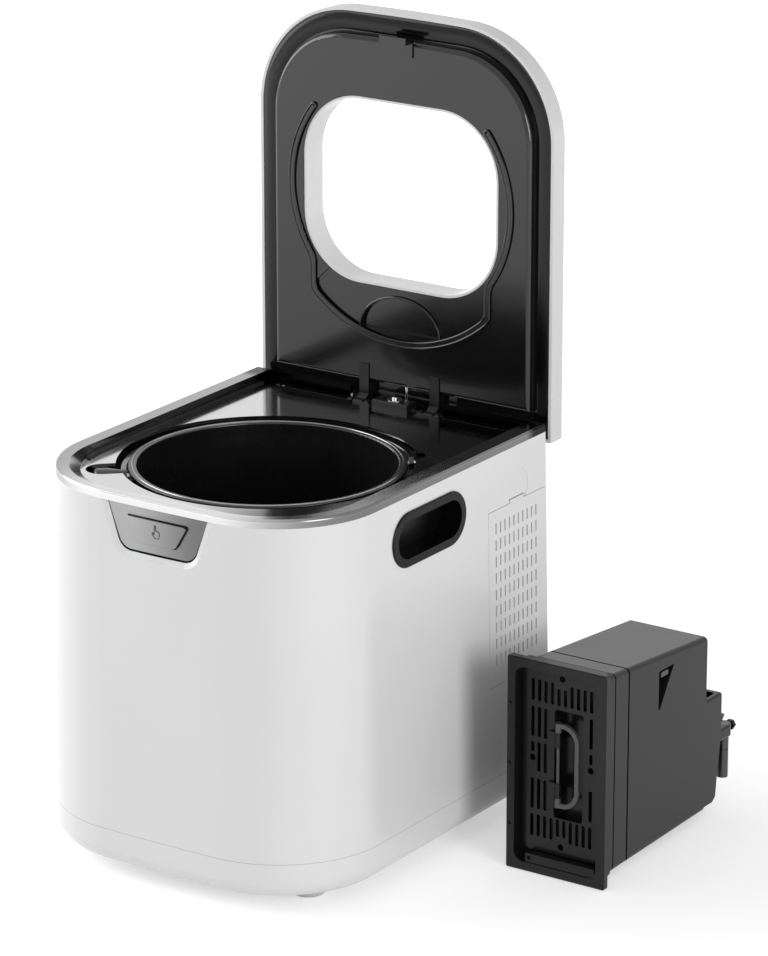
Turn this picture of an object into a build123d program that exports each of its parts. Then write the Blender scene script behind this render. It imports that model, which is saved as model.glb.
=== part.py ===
from build123d import *
from math import atan2, cos, degrees, radians, sin
import os

# Electric food waste composter, millimetres, +Z up, front towards -Y.
# The origin is on the floor, midway between the sides and midway between front and rear.

# --- overall sizes -----------------------------------------------------------
body_width = 280.0
body_depth = 330.0
foot_height = 12.0
seam_height = 43.0  # joint between the base tray and the shell
shell_top = 312.0
front_radius = 88.0
front_bow = 4.5
rear_radius = 22.0
shell_wall = 2.6
shell_flare = 4.0  # each wall leans out by this much from the rim to the seam
base_wall = 3.0
base_rounding = 17.0
body_half = body_width / 2
body_front = -body_depth / 2
body_rear = body_depth / 2

# --- clearances --------------------------------------------------------------
seat_gap = 0.3  # between seated pieces that can part
fit_gap = 0.15  # between fixed neighbours
shaft_gap = 0.05  # radial, round turning shafts

# --- rim, deck and well ------------------------------------------------------
rim_crest = shell_top + 7.0
rim_width = 14.0
rim_front_width = 22.0
rim_front_flat = 8.0  # level part of the front rim, before it slopes down to the deck
rim_rear_width = 3.0
rim_rounding = 2.4
rim_leg = 7.0  # how far the rim reaches down inside the shell
deck_level = shell_top - 1.0
deck_thickness = 3.0
ledge_width = 4.0
well_y = body_front + 147.0
well_radius = 115.0
trough_radius = 118.3
skirt_wall = 1.5
liner_wall = 1.5
liner_flange_top = 294.0

# --- bucket ------------------------------------------------------------------
bucket_radius = 102.0
bucket_foot_radius = 97.0
bucket_wall = 2.0
bucket_rim_radius = 109.0
bucket_rim_top = deck_level - 0.5
bucket_rim_thickness = 3.0
bucket_depth = 146.0
liner_radius = 106.5
pivot_angle = -138.0  # direction of the handle's pivot line, seen from above
near = (cos(radians(pivot_angle)), sin(radians(pivot_angle)))

# --- lid ---------------------------------------------------------------------
lid_thickness = 20.0
lid_wall = 2.5
lid_gap = 0.8  # closed lid above the rim
hinge_y = body_rear - 6.0
hinge_z = 306.0
rod_radius = 2.5
rod_half_length = 108.0
plate_drop = 6.5
plate_margin = 17.3
plate_front_margin = 19.6
plate_rear_margin = 24.0
panel_thickness = 2.4
window_width = 182.0
window_height = 150.0
window_rounding = 52.0
hinge_arm_x = 34.0
hinge_arm_width = 9.0

base_floor = foot_height + base_wall
lid_plane = rim_crest + lid_gap
draft = degrees(atan2(shell_flare, shell_top - seam_height))

os.makedirs("parts", exist_ok=True)


def keep(piece, name):
    """Labels a finished piece and writes its file."""
    piece.label = name
    export_step(piece, f"parts/{name}.step")


def body_plan(side, front=None, rear=None):
    """The D-shaped plan of the body, drawn in by the given amounts."""
    front = side if front is None else front
    rear = side if rear is None else rear
    half = body_half - side
    front_y = body_front + front
    rear_y = body_rear - rear
    with BuildSketch() as plan:
        with BuildLine():
            ThreePointArc((-half, front_y + front_bow), (0, front_y), (half, front_y + front_bow))
            Polyline(
                (half, front_y + front_bow),
                (half, rear_y),
                (-half, rear_y),
                (-half, front_y + front_bow),
            )
        make_face()
        corners = plan.vertices().group_by(Axis.Y)
        fillet(corners[0], radius=front_radius - side)
        fillet(corners[-1], radius=max(rear_radius - max(side, rear), 2.0))
    return plan.sketch


def drafted_block(bottom, top, inset):
    """A block of the leaning body shape between two heights, drawn in by the wall inset."""
    lean_bottom = shell_flare * (shell_top - bottom) / (shell_top - seam_height)
    with BuildPart() as block:
        with BuildSketch(Plane.XY.offset(bottom)):
            add(body_plan(inset - lean_bottom))
        extrude(amount=top - bottom, taper=draft)
    return block.part


# --- base --------------------------------------------------------------------
foot_radius = 14.0
front_foot_x = body_half - 47.0
front_foot_y = body_front + 66.0
rear_foot_x = body_half - 44.0
rear_foot_y = body_rear - 49.0
foot_places = [
    (front_foot_x, front_foot_y),
    (-front_foot_x, front_foot_y),
    (rear_foot_x, rear_foot_y),
    (-rear_foot_x, rear_foot_y),
]
screw_radius = 1.6
screw_head_radius = 3.5
screw_head_height = 2.2
screw_length = 12.0
boss_radius = 5.0
boss_height = 14.0
screw_x = 70.0
screw_front_y = body_front + 45.0
screw_rear_y = body_rear - 29.0
screw_places = [
    (screw_x, screw_front_y),
    (-screw_x, screw_front_y),
    (screw_x, screw_rear_y),
    (-screw_x, screw_rear_y),
]
floor_slot_length = 40.0
floor_slot_width = 3.0
floor_slot_pitch = 8.0

with BuildPart() as base_tray:
    with BuildSketch(Plane.XY.offset(foot_height)):
        add(body_plan(-shell_flare))
    extrude(amount=seam_height - foot_height)
    fillet(base_tray.edges().group_by(Axis.Z)[0], radius=base_rounding)
    offset(amount=-base_wall, openings=base_tray.faces().sort_by(Axis.Z)[-1])
    with BuildSketch(Plane.XY.offset(base_floor)):
        with Locations(*screw_places):
            Circle(boss_radius)
    extrude(amount=boss_height)
    with BuildSketch(Plane.XY.offset(foot_height)):
        with Locations(*screw_places):
            Circle(screw_radius + shaft_gap)
        with Locations((0, screw_front_y + 10), (0, screw_rear_y - 16)):
            with GridLocations(floor_slot_pitch, 0, 7, 1):
                SlotOverall(floor_slot_length, floor_slot_width, rotation=90)
    extrude(amount=base_wall + boss_height, mode=Mode.SUBTRACT)
keep(base_tray.part, "base_tray")

with BuildPart() as feet:
    with BuildSketch():
        with Locations(*foot_places):
            Circle(foot_radius)
    extrude(amount=foot_height)
    chamfer(feet.edges().group_by(Axis.Z)[0], length=1.5)
keep(feet.part, "feet")

with BuildPart() as base_screws:
    with BuildSketch(Plane.XY.offset(foot_height - screw_head_height)):
        with Locations(*screw_places):
            Circle(screw_head_radius)
    extrude(amount=screw_head_height)
    with BuildSketch(Plane.XY.offset(foot_height)):
        with Locations(*screw_places):
            Circle(screw_radius)
    extrude(amount=screw_length)
keep(base_screws.part, "base_screws")

# --- outer shell and the pieces let into it ----------------------------------
panel_top_width = 94.0
panel_bottom_width = 66.0
panel_height = 36.0
panel_rounding = 12.0
panel_sink = 3.0
panel_bevel = 3.6
panel_bevel_angle = 58.0
panel_plate = 2.4
button_width = 58.0
button_bottom_width = 35.0
button_height = 19.5
button_drop = 9.0  # top of the button below the panel's top
button_rounding = 6.0
button_gap = 0.8

grip_y = well_y + 15.0
grip_z = 278.0
grip_length = 102.0
grip_height = 44.5
grip_border = 7.0
grip_depth = 20.0
grip_wall = 2.0
grip_lip = 1.2

cover_front = body_rear - 84.0
cover_bottom = 120.0
cover_top = 267.0
cover_wrap = body_half - 36.0  # where the cover ends on the rear face, measured along X
cover_gap = 0.5
slit_width = 1.8
slit_height = 9.0
slit_pitch_y = 6.5
slit_pitch_z = 13.7
slit_columns = 10
slit_rows = 9
slit_front_margin = 11.0
slit_lift = 3.0  # the slits' middle above the cover's middle
catch_tab_y = cover_front + 42.0
catch_tab_width = 20.0
catch_tab_height = 4.0
scoop_radius = 16.0
scoop_lift = 10.0

rear_notch_half = 45.0
rear_notch_bottom = 298.0
fan_x = -70.0
fan_z = 130.0
fan_frame_side = 80.0
fan_frame_depth = 20.0
inlet_x = -70.0
inlet_z = 66.0
inlet_width = 28.0
inlet_height = 21.0
outlet_slot_length = 30.0
outlet_slot_width = 3.0
outlet_slot_pitch = 7.0
outlet_row_pitch = 34.0

panel_plane = Plane.XZ.offset(-body_front - 12.0)  # inside the front wall, facing -Y


def panel_outline(grow):
    """The button panel's outline, wide at the top, with rounded lower corners."""
    half_top = panel_top_width / 2 + grow
    half_bottom = panel_bottom_width / 2 + grow
    low = shell_top - panel_height - grow
    with BuildSketch() as outline:
        with BuildLine():
            Polyline(
                (-half_bottom, low),
                (half_bottom, low),
                (half_top, shell_top),
                (-half_top, shell_top),
                close=True,
            )
        make_face()
        fillet(outline.vertices().group_by(Axis.Y)[0], radius=panel_rounding)
    return outline.sketch


def button_outline(grow):
    """The open button's outline, centred in the panel."""
    half_top = button_width / 2 + grow
    half_bottom = button_bottom_width / 2 + grow
    high = shell_top - button_drop + grow
    low = high - button_height - 2 * grow
    with BuildSketch() as outline:
        with BuildLine():
            Polyline(
                (-half_bottom, low),
                (half_bottom, low),
                (half_top, high),
                (-half_top, high),
                close=True,
            )
        make_face()
        fillet(outline.vertices().group_by(Axis.Y)[0], radius=button_rounding)
        fillet(outline.vertices().group_by(Axis.Y)[-1], radius=button_rounding / 3)
    return outline.sketch


shell_solid = drafted_block(seam_height, shell_top, 0)
shell_hollow = drafted_block(seam_height, shell_top, shell_wall)

with BuildPart() as outer_shell:
    add(shell_solid)
    add(shell_hollow, mode=Mode.SUBTRACT)
    # panel opening with its bevelled border
    with BuildSketch(panel_plane):
        add(panel_outline(fit_gap))
    extrude(amount=20, mode=Mode.SUBTRACT)
    with BuildSketch(Plane.XZ.offset(-body_front - panel_sink)):
        add(panel_outline(fit_gap))
    extrude(amount=panel_bevel, taper=-panel_bevel_angle, mode=Mode.SUBTRACT)
    # hand grips, one on each side
    with BuildSketch(Plane.YZ):
        with Locations((grip_y, grip_z)):
            SlotOverall(grip_length - 2 * grip_lip, grip_height - 2 * grip_lip)
    extrude(amount=body_half + 2 * shell_flare, both=True, mode=Mode.SUBTRACT)
    # opening under the vent cover, and its finger scoop and catch slot
    with BuildSketch(Plane.XY.offset(cover_bottom)):
        with Locations((cover_wrap, cover_front)):
            Rectangle(body_half, body_depth, align=(Align.MIN, Align.MIN))
    extrude(amount=cover_top - cover_bottom, mode=Mode.SUBTRACT)
    with Locations((body_half + 1.4, catch_tab_y, cover_top + scoop_lift)):
        Cylinder(scoop_radius, 3, rotation=(0, 90, 0), mode=Mode.SUBTRACT)
    with Locations((body_half, catch_tab_y, cover_top)):
        Box(12, catch_tab_width + 2, catch_tab_height + 2, mode=Mode.SUBTRACT)
    # notch for the lid's arms
    with Locations((0, body_rear, (rear_notch_bottom + shell_top) / 2 + 1)):
        Box(2 * rear_notch_half, 12, shell_top - rear_notch_bottom + 2, mode=Mode.SUBTRACT)
    # air outlet slots and power inlet in the rear wall
    with BuildSketch(Plane.XZ.offset(-body_rear + 8)):
        with Locations((fan_x, fan_z)):
            with GridLocations(outlet_slot_pitch, outlet_row_pitch, 10, 2):
                SlotOverall(outlet_slot_length, outlet_slot_width, rotation=90)
        with Locations((inlet_x, inlet_z)):
            RectangleRounded(inlet_width + 2 * fit_gap, inlet_height + 2 * fit_gap, 2)
    extrude(amount=-24, mode=Mode.SUBTRACT)
keep(outer_shell.part, "outer_shell")

with BuildPart() as button_panel:
    with BuildSketch(panel_plane):
        add(panel_outline(0))
    extrude(amount=14)
    add(drafted_block(seam_height, shell_top, panel_sink), mode=Mode.INTERSECT)
    add(drafted_block(seam_height, shell_top, panel_sink + panel_plate), mode=Mode.SUBTRACT)
    with BuildSketch(panel_plane):
        add(button_outline(button_gap))
    extrude(amount=20, mode=Mode.SUBTRACT)
keep(button_panel.part, "button_panel")

with BuildPart() as vent_cover:
    add(drafted_block(seam_height, shell_top, 0))
    add(drafted_block(seam_height, shell_top, shell_wall), mode=Mode.SUBTRACT)
    with BuildSketch(Plane.XY.offset(cover_bottom + cover_gap)):
        with Locations((cover_wrap + cover_gap, cover_front + cover_gap)):
            Rectangle(body_half, body_depth, align=(Align.MIN, Align.MIN))
    extrude(amount=cover_top - cover_bottom - 2 * cover_gap, mode=Mode.INTERSECT)
    with BuildSketch(Plane.YZ.offset(body_half - 30)):
        with Locations(
            (
                cover_front + slit_front_margin + slit_pitch_y * (slit_columns - 1) / 2,
                (cover_bottom + cover_top) / 2 + slit_lift,
            )
        ):
            with GridLocations(slit_pitch_y, slit_pitch_z, slit_columns, slit_rows):
                Rectangle(slit_width, slit_height)
    extrude(amount=50, mode=Mode.SUBTRACT)
    # catch tab that snaps into the slot above the cover
    with Locations((body_half - 0.6, catch_tab_y, cover_top + 0.2)):
        Box(1.8, catch_tab_width, catch_tab_height)
keep(vent_cover.part, "vent_cover")


def hand_grip(side):
    """An obround cup with its border, let into the side wall; side is +1 or -1."""
    wall_x = body_half + shell_flare * (shell_top - grip_z) / (shell_top - seam_height)
    with BuildPart() as grip:
        with BuildSketch(Plane.YZ.offset(wall_x - grip_depth)):
            with Locations((grip_y, grip_z)):
                SlotOverall(grip_length - 2 * grip_lip - 0.6, grip_height - 2 * grip_lip - 0.6)
        extrude(amount=grip_depth + seat_gap)
        with BuildSketch(Plane.YZ.offset(wall_x + seat_gap)):
            with Locations((grip_y, grip_z)):
                SlotOverall(grip_length, grip_height)
        extrude(amount=grip_lip)
        chamfer(grip.edges().sort_by(Axis.X)[-1], length=0.8)
        with BuildSketch(Plane.YZ.offset(wall_x - grip_depth + grip_wall)):
            with Locations((grip_y, grip_z)):
                SlotOverall(grip_length - 2 * grip_border, grip_height - 2 * grip_border)
        extrude(amount=grip_depth + grip_lip, mode=Mode.SUBTRACT)
        if side < 0:
            mirror(about=Plane.YZ, mode=Mode.REPLACE)
    return grip.part


keep(hand_grip(1), "right_hand_grip")
keep(hand_grip(-1), "left_hand_grip")

# --- rim, deck, well ---------------------------------------------------------
catch_y = body_front + 18.0
catch_slot_half = 14.0
lug_reach = 142.0
lug_pocket_radius = 13.0
tail_reach = 124.0
tail_pocket_radius = 9.0
# reach, half width and sense along the pivot line of the pockets for the handle's ends
end_pockets = ((lug_reach, lug_pocket_radius, 1), (tail_reach, tail_pocket_radius, -1))
trough_end_y = body_rear - 14.0
trough_half_length = 112.0


def well_outline(grow):
    """The bucket well seen from above: the round well, the wider handle trough and the lug pockets."""
    with BuildSketch() as outline:
        with Locations((0, well_y)):
            Circle(well_radius + grow)
        with BuildSketch(mode=Mode.PRIVATE) as trough:
            with Locations((0, well_y)):
                Circle(trough_radius + grow)
            split(bisect_by=Plane((0, well_y, 0), x_dir=(0, 0, 1), z_dir=(-near[1], near[0], 0)),
                  keep=Keep.BOTTOM)
        add(trough.sketch)
        for reach, half_width, sense in end_pockets:
            middle = (reach - half_width) / 2 * sense
            with Locations((near[0] * middle, well_y + near[1] * middle)):
                SlotOverall(
                    reach + half_width + 2 * grow,
                    2 * half_width + 2 * grow,
                    rotation=pivot_angle,
                )
    return outline.sketch


with BuildPart() as rim_band:
    with BuildSketch(Plane.XY.offset(shell_top)):
        add(body_plan(0))
    extrude(amount=rim_crest - shell_top)
    fillet(rim_band.edges().group_by(Axis.Z)[-1], radius=rim_rounding)
    with BuildSketch(Plane.XY.offset(shell_top - rim_leg)):
        add(body_plan(shell_wall + fit_gap, rear=shell_wall + fit_gap))
    extrude(amount=rim_leg)
    with BuildSketch(Plane.XY.offset(deck_level - deck_thickness)):
        add(body_plan(rim_width, rim_front_width, rim_rear_width))
    extrude(amount=deck_thickness, mode=Mode.SUBTRACT)
    # inside edge, upright at the sides and sloping down to the deck at the front
    with BuildSketch(Plane.XY.offset(deck_level)):
        add(body_plan(rim_width, rim_front_width, rim_rear_width))
    with BuildSketch(Plane.XY.offset(rim_crest)):
        add(body_plan(rim_width, rim_front_flat, rim_rear_width))
    loft(mode=Mode.SUBTRACT)
    with BuildSketch(Plane.XY.offset(shell_top - rim_leg)):
        add(body_plan(rim_width + ledge_width, rim_front_width + ledge_width - 1, rim_rear_width))
        add(well_outline(skirt_wall + fit_gap))
    extrude(amount=rim_leg, mode=Mode.SUBTRACT)
    # notch for the lid's arms, and the slot for the lid's catch
    with Locations((0, body_rear, shell_top)):
        Box(2 * rear_notch_half, 14, 40, mode=Mode.SUBTRACT)
    with Locations((0, catch_y - 0.5, shell_top)):
        Box(2 * catch_slot_half, 11, 40, mode=Mode.SUBTRACT)
    with Locations((0, catch_y - 7.0, shell_top - rim_leg)):
        Box(15.4, 13, 13.0, mode=Mode.SUBTRACT)
    # room for the button panel below the crest
    with Locations((0, body_front, shell_top - rim_leg / 2)):
        Box(panel_top_width + 2, 2 * (panel_sink + panel_plate + 0.9), rim_leg, mode=Mode.SUBTRACT)
keep(rim_band.part, "rim_band")


def cut_at_handle(piece):
    """The piece in three parts: one half, and the handle's half in two quarters."""
    along = Plane((0, well_y, 0), x_dir=(0, 0, 1), z_dir=(-near[1], near[0], 0))
    across = Plane((0, well_y, 0), x_dir=(0, 0, 1), z_dir=(near[0], near[1], 0))
    handle_half = split(piece, bisect_by=along, keep=Keep.BOTTOM)
    return Compound(
        [
            *split(piece, bisect_by=along, keep=Keep.TOP).solids(),
            *split(handle_half, bisect_by=across, keep=Keep.TOP).solids(),
            *split(handle_half, bisect_by=across, keep=Keep.BOTTOM).solids(),
        ]
    )


with BuildPart() as deck_plate:
    with BuildSketch(Plane.XY.offset(deck_level - deck_thickness)):
        add(body_plan(rim_width + fit_gap, rim_front_width + fit_gap, rim_rear_width + fit_gap))
        add(well_outline(0), mode=Mode.SUBTRACT)
        with Locations((0, body_rear)):
            Rectangle(2 * trough_half_length, 2 * (body_rear - trough_end_y), mode=Mode.SUBTRACT)
    extrude(amount=deck_thickness)
keep(cut_at_handle(deck_plate.part), "deck_plate")

# wall of the well, from the liner's flange up to the deck
with BuildPart() as well_skirt:
    with BuildSketch(Plane.XY.offset(liner_flange_top)):
        add(well_outline(skirt_wall))
        add(well_outline(0), mode=Mode.SUBTRACT)
    extrude(amount=deck_level - deck_thickness - liner_flange_top)
keep(cut_at_handle(well_skirt.part), "well_skirt")

gasket_width = 4.0
gasket_height = 1.6
with BuildPart() as rim_gasket:
    with BuildSketch(Plane.XY.offset(deck_level)):
        add(body_plan(rim_width + 2 * fit_gap, rim_front_width + 2 * fit_gap, rim_rear_width))
        add(
            body_plan(rim_width + gasket_width, rim_front_width + gasket_width, rim_rear_width),
            mode=Mode.SUBTRACT,
        )
        with Locations((0, body_front)):
            Rectangle(body_width, 2 * 75.0, mode=Mode.SUBTRACT)
        with Locations((0, body_rear)):
            Rectangle(body_width, 2 * (body_rear - trough_end_y + 2), mode=Mode.SUBTRACT)
    extrude(amount=gasket_height)
keep(rim_gasket.part, "rim_gasket")

# --- heated chamber ----------------------------------------------------------
bucket_floor_top = bucket_rim_top - bucket_depth
bucket_floor_bottom = bucket_floor_top - bucket_wall
liner_floor_top = bucket_floor_bottom - 6.0
liner_floor_bottom = liner_floor_top - 2.0
shaft_radius = 5.0
agitator_shaft_radius = 4.0
heater_height = 50.0
heater_thickness = 3.0
bucket_axis = Axis((0, well_y, 0), (0, 0, 1))

with BuildPart() as chamber_liner:
    with BuildSketch(Plane.XZ.offset(-well_y)):
        with BuildLine():
            Polyline(
                (shaft_radius + 2.0, liner_floor_bottom),
                (liner_radius + liner_wall, liner_floor_bottom),
                (liner_radius + liner_wall, liner_flange_top - 2.0),
                (trough_radius + skirt_wall, liner_flange_top - 2.0),
                (trough_radius + skirt_wall, liner_flange_top),
                (liner_radius, liner_flange_top),
                (liner_radius, liner_floor_top),
                (shaft_radius + 2.0, liner_floor_top),
                close=True,
            )
        make_face()
    revolve(axis=bucket_axis)
    fillet(
        chamber_liner.edges().filter_by(GeomType.CIRCLE).group_by(Axis.Z)[0].sort_by(SortBy.RADIUS)[-1],
        radius=6.0,
    )
    with BuildSketch(Plane.XY.offset(liner_flange_top - 2.0)):
        for reach, half_width, sense in end_pockets:
            middle = (reach - half_width) / 2 * sense
            with Locations((near[0] * middle, well_y + near[1] * middle)):
                SlotOverall(
                    reach + half_width + 2 * skirt_wall,
                    2 * half_width + 2 * skirt_wall,
                    rotation=pivot_angle,
                )
        with Locations((0, well_y)):
            Circle(liner_radius, mode=Mode.SUBTRACT)
    extrude(amount=2.0)
keep(chamber_liner.part, "chamber_liner")

with BuildPart() as heater_band:
    with BuildSketch(Plane.XY.offset(liner_floor_top + 12)):
        with Locations((0, well_y)):
            Circle(liner_radius + liner_wall + fit_gap + heater_thickness)
            Circle(liner_radius + liner_wall + fit_gap, mode=Mode.SUBTRACT)
            with Locations((-liner_radius, 0)):
                Rectangle(16, 4, mode=Mode.SUBTRACT)
    extrude(amount=heater_height)
keep(heater_band.part, "heater_band")

# --- drive under the chamber -------------------------------------------------
motor_radius = 48.0
motor_height = 62.0
gearbox_radius = 62.0
motor_floor = base_floor
gearbox_floor = motor_floor + motor_height
shaft_bore = shaft_radius + shaft_gap

with BuildPart() as gear_motor:
    with BuildSketch(Plane.XY.offset(motor_floor)):
        with Locations((0, well_y)):
            Circle(motor_radius)
    extrude(amount=motor_height)
    with BuildSketch(Plane.XY.offset(motor_floor)):
        with Locations((0, well_y)):
            Circle(motor_radius + 14)
            with PolarLocations(motor_radius + 8, 4, start_angle=45):
                Circle(2.2, mode=Mode.SUBTRACT)
    extrude(amount=4.0)
    with BuildSketch(Plane.XY.offset(motor_floor + 12)):
        with Locations((0, well_y)):
            with PolarLocations(motor_radius, 20):
                Rectangle(3.0, 5.0)
    extrude(amount=motor_height - 24, mode=Mode.SUBTRACT)
keep(gear_motor.part, "gear_motor")

with BuildPart() as gearbox_case:
    with BuildSketch(Plane.XY.offset(gearbox_floor)):
        with Locations((0, well_y)):
            Circle(gearbox_radius)
            with PolarLocations(gearbox_radius, 8):
                Circle(5.0)
    extrude(amount=liner_floor_bottom - gearbox_floor - 10)
    with BuildSketch(Plane.XY.offset(liner_floor_bottom - 10)):
        with Locations((0, well_y)):
            Circle(gearbox_radius - 14)
    extrude(amount=10)
    with BuildSketch(Plane.XY.offset(gearbox_floor + 6)):
        with Locations((0, well_y)):
            Circle(shaft_bore)
    extrude(amount=liner_floor_bottom, mode=Mode.SUBTRACT)
keep(gearbox_case.part, "gearbox_case")

coupler_radius = 16.0
coupler_floor = liner_floor_top + 0.5
dog_height = 3.0
with BuildPart() as drive_coupler:
    with BuildSketch(Plane.XY.offset(gearbox_floor + 6.3)):
        with Locations((0, well_y)):
            Circle(shaft_radius)
    extrude(amount=coupler_floor - gearbox_floor - 6.3)
    with BuildSketch(Plane.XY.offset(coupler_floor)):
        with Locations((0, well_y)):
            Circle(coupler_radius)
    extrude(amount=1.5)
    with BuildSketch(Plane.XY.offset(coupler_floor + 1.5)):
        with Locations((0, well_y)):
            with PolarLocations(coupler_radius - 4.0, 2):
                Circle(3.5)
    extrude(amount=dog_height)
keep(drive_coupler.part, "drive_coupler")

# --- bucket ------------------------------------------------------------------
ear_z = bucket_rim_top - bucket_rim_thickness - 3.2
pin_radius = 2.2
pin_length = 7.0
bearing_radius = 9.0
bearing_height = 11.0
bearing_drop = 1.0  # how far the bearing stands below the bucket's floor
foot_ring_radius = 62.0
foot_ring_wall = 2.0
grind_lug_height = 26.0
grind_lug_lift = 22.0

with BuildPart() as bucket_pot:
    with BuildSketch(Plane.XZ.offset(-well_y)):
        with BuildLine():
            Polyline(
                (bearing_radius + shaft_gap, bucket_floor_bottom),
                (bucket_foot_radius + bucket_wall, bucket_floor_bottom),
                (bucket_radius + bucket_wall, bucket_rim_top - bucket_rim_thickness - 6.5),
                (bucket_radius + bucket_wall, bucket_rim_top - bucket_rim_thickness),
                (bucket_rim_radius, bucket_rim_top - bucket_rim_thickness),
                (bucket_rim_radius, bucket_rim_top),
                (bucket_radius, bucket_rim_top),
                (bucket_radius, bucket_rim_top - bucket_rim_thickness - 6.5),
                (bucket_foot_radius, bucket_floor_top),
                (bearing_radius + shaft_gap, bucket_floor_top),
                close=True,
            )
        make_face()
    revolve(axis=bucket_axis)
    rings = bucket_pot.edges().filter_by(GeomType.CIRCLE)
    fillet(rings.filter_by_position(Axis.Z, bucket_floor_bottom - 0.1, bucket_floor_bottom + 0.1).sort_by(
        SortBy.RADIUS)[-1], radius=12.0)
    rings = bucket_pot.edges().filter_by(GeomType.CIRCLE)
    fillet(rings.filter_by_position(Axis.Z, bucket_floor_top - 0.1, bucket_floor_top + 0.1).sort_by(
        SortBy.RADIUS)[-1], radius=10.0)
    rings = bucket_pot.edges().filter_by(GeomType.CIRCLE)
    fillet(rings.filter_by_position(Axis.Z, bucket_rim_top - 0.1, bucket_rim_top + 0.1), radius=1.2)
    # foot ring
    with BuildSketch(Plane.XY.offset(liner_floor_top + seat_gap)):
        with Locations((0, well_y)):
            Circle(foot_ring_radius + foot_ring_wall)
            Circle(foot_ring_radius, mode=Mode.SUBTRACT)
    extrude(amount=bucket_floor_bottom - liner_floor_top - seat_gap)
    # grinding lugs that stand out from the wall
    with BuildSketch(Plane.XY.offset(bucket_floor_top + grind_lug_lift)):
        with Locations((0, well_y)):
            with PolarLocations(bucket_foot_radius - 4.0, 3, start_angle=pivot_angle + 60):
                RectangleRounded(14, 8, 3)
    extrude(amount=grind_lug_height)
keep(bucket_pot.part, "bucket_pot")

with BuildPart() as bucket_bearing:
    with BuildSketch(Plane.XY.offset(bucket_floor_bottom - bearing_drop)):
        with Locations((0, well_y)):
            Circle(bearing_radius)
            Circle(agitator_shaft_radius + shaft_gap, mode=Mode.SUBTRACT)
    extrude(amount=bearing_height)
keep(bucket_bearing.part, "bucket_bearing")

pivot_plane = Plane((0, well_y, ear_z), x_dir=(0, 0, 1), z_dir=(near[0], near[1], 0))

with BuildPart() as bucket_ears:
    for sense in (1, -1):
        with BuildSketch(pivot_plane.offset(sense * (bucket_radius + bucket_wall + fit_gap))):
            RectangleRounded(6.0, 12.0, 1.5)
        extrude(amount=sense * (bucket_rim_radius - bucket_radius - bucket_wall - fit_gap))
        with BuildSketch(pivot_plane.offset(sense * bucket_rim_radius)):
            Circle(pin_radius)
        extrude(amount=sense * pin_length)
keep(bucket_ears.part, "bucket_ears")

# carrying handle, folded back round the rear left of the rim
bar_gap = 1.2
bar_inner = bucket_rim_radius + bar_gap
bar_thickness = 4.0
bar_height = 5.5
eye_radius = 5.2

with BuildPart() as bucket_handle:
    with BuildSketch(Plane.XY.offset(ear_z - bar_height / 2)):
        with Locations((0, well_y)):
            Circle(bar_inner + bar_thickness)
            Circle(bar_inner, mode=Mode.SUBTRACT)
        split(
            bisect_by=Plane((0, well_y, 0), x_dir=(0, 0, 1), z_dir=(-near[1], near[0], 0)),
            keep=Keep.BOTTOM,
        )
    extrude(amount=bar_height)
    for sense in (1, -1):
        with BuildSketch(pivot_plane.offset(sense * bar_inner)):
            Circle(eye_radius)
        extrude(amount=sense * bar_thickness)
        with BuildSketch(pivot_plane.offset(sense * (bar_inner - 1))):
            Circle(pin_radius + shaft_gap)
        extrude(amount=sense * (bar_thickness + 2), mode=Mode.SUBTRACT)
keep(bucket_handle.part, "bucket_handle")

# rounded lug on the handle's front left end
lug_root = bar_inner + bar_thickness
lug_swell = 11.0  # length of its widening part and of its straight part
lug_half_height = 7.0
lug_half_width = 9.0

with BuildPart() as handle_lug:
    with BuildSketch(pivot_plane.offset(lug_root)):
        Circle(eye_radius)
    with BuildSketch(pivot_plane.offset(lug_root + lug_swell)):
        Ellipse(lug_half_height, lug_half_width)
    loft()
    with BuildSketch(pivot_plane.offset(lug_root + lug_swell)):
        Ellipse(lug_half_height, lug_half_width)
    extrude(amount=lug_swell)
    fillet(handle_lug.faces().sort_by(Axis((0, 0, 0), (near[0], near[1], 0)))[-1].edges(), radius=4.0)
    with BuildSketch(pivot_plane.offset(lug_root - 1)):
        Circle(pin_radius + shaft_gap)
    extrude(amount=4, mode=Mode.SUBTRACT)
keep(handle_lug.part, "handle_lug")

# --- agitator ----------------------------------------------------------------
hub_radius = 15.0
hub_height = 36.0
blade_reach = 84.0
blade_floor = bucket_floor_top + 1.5
shaft_end = coupler_floor + 1.5 + seat_gap

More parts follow.
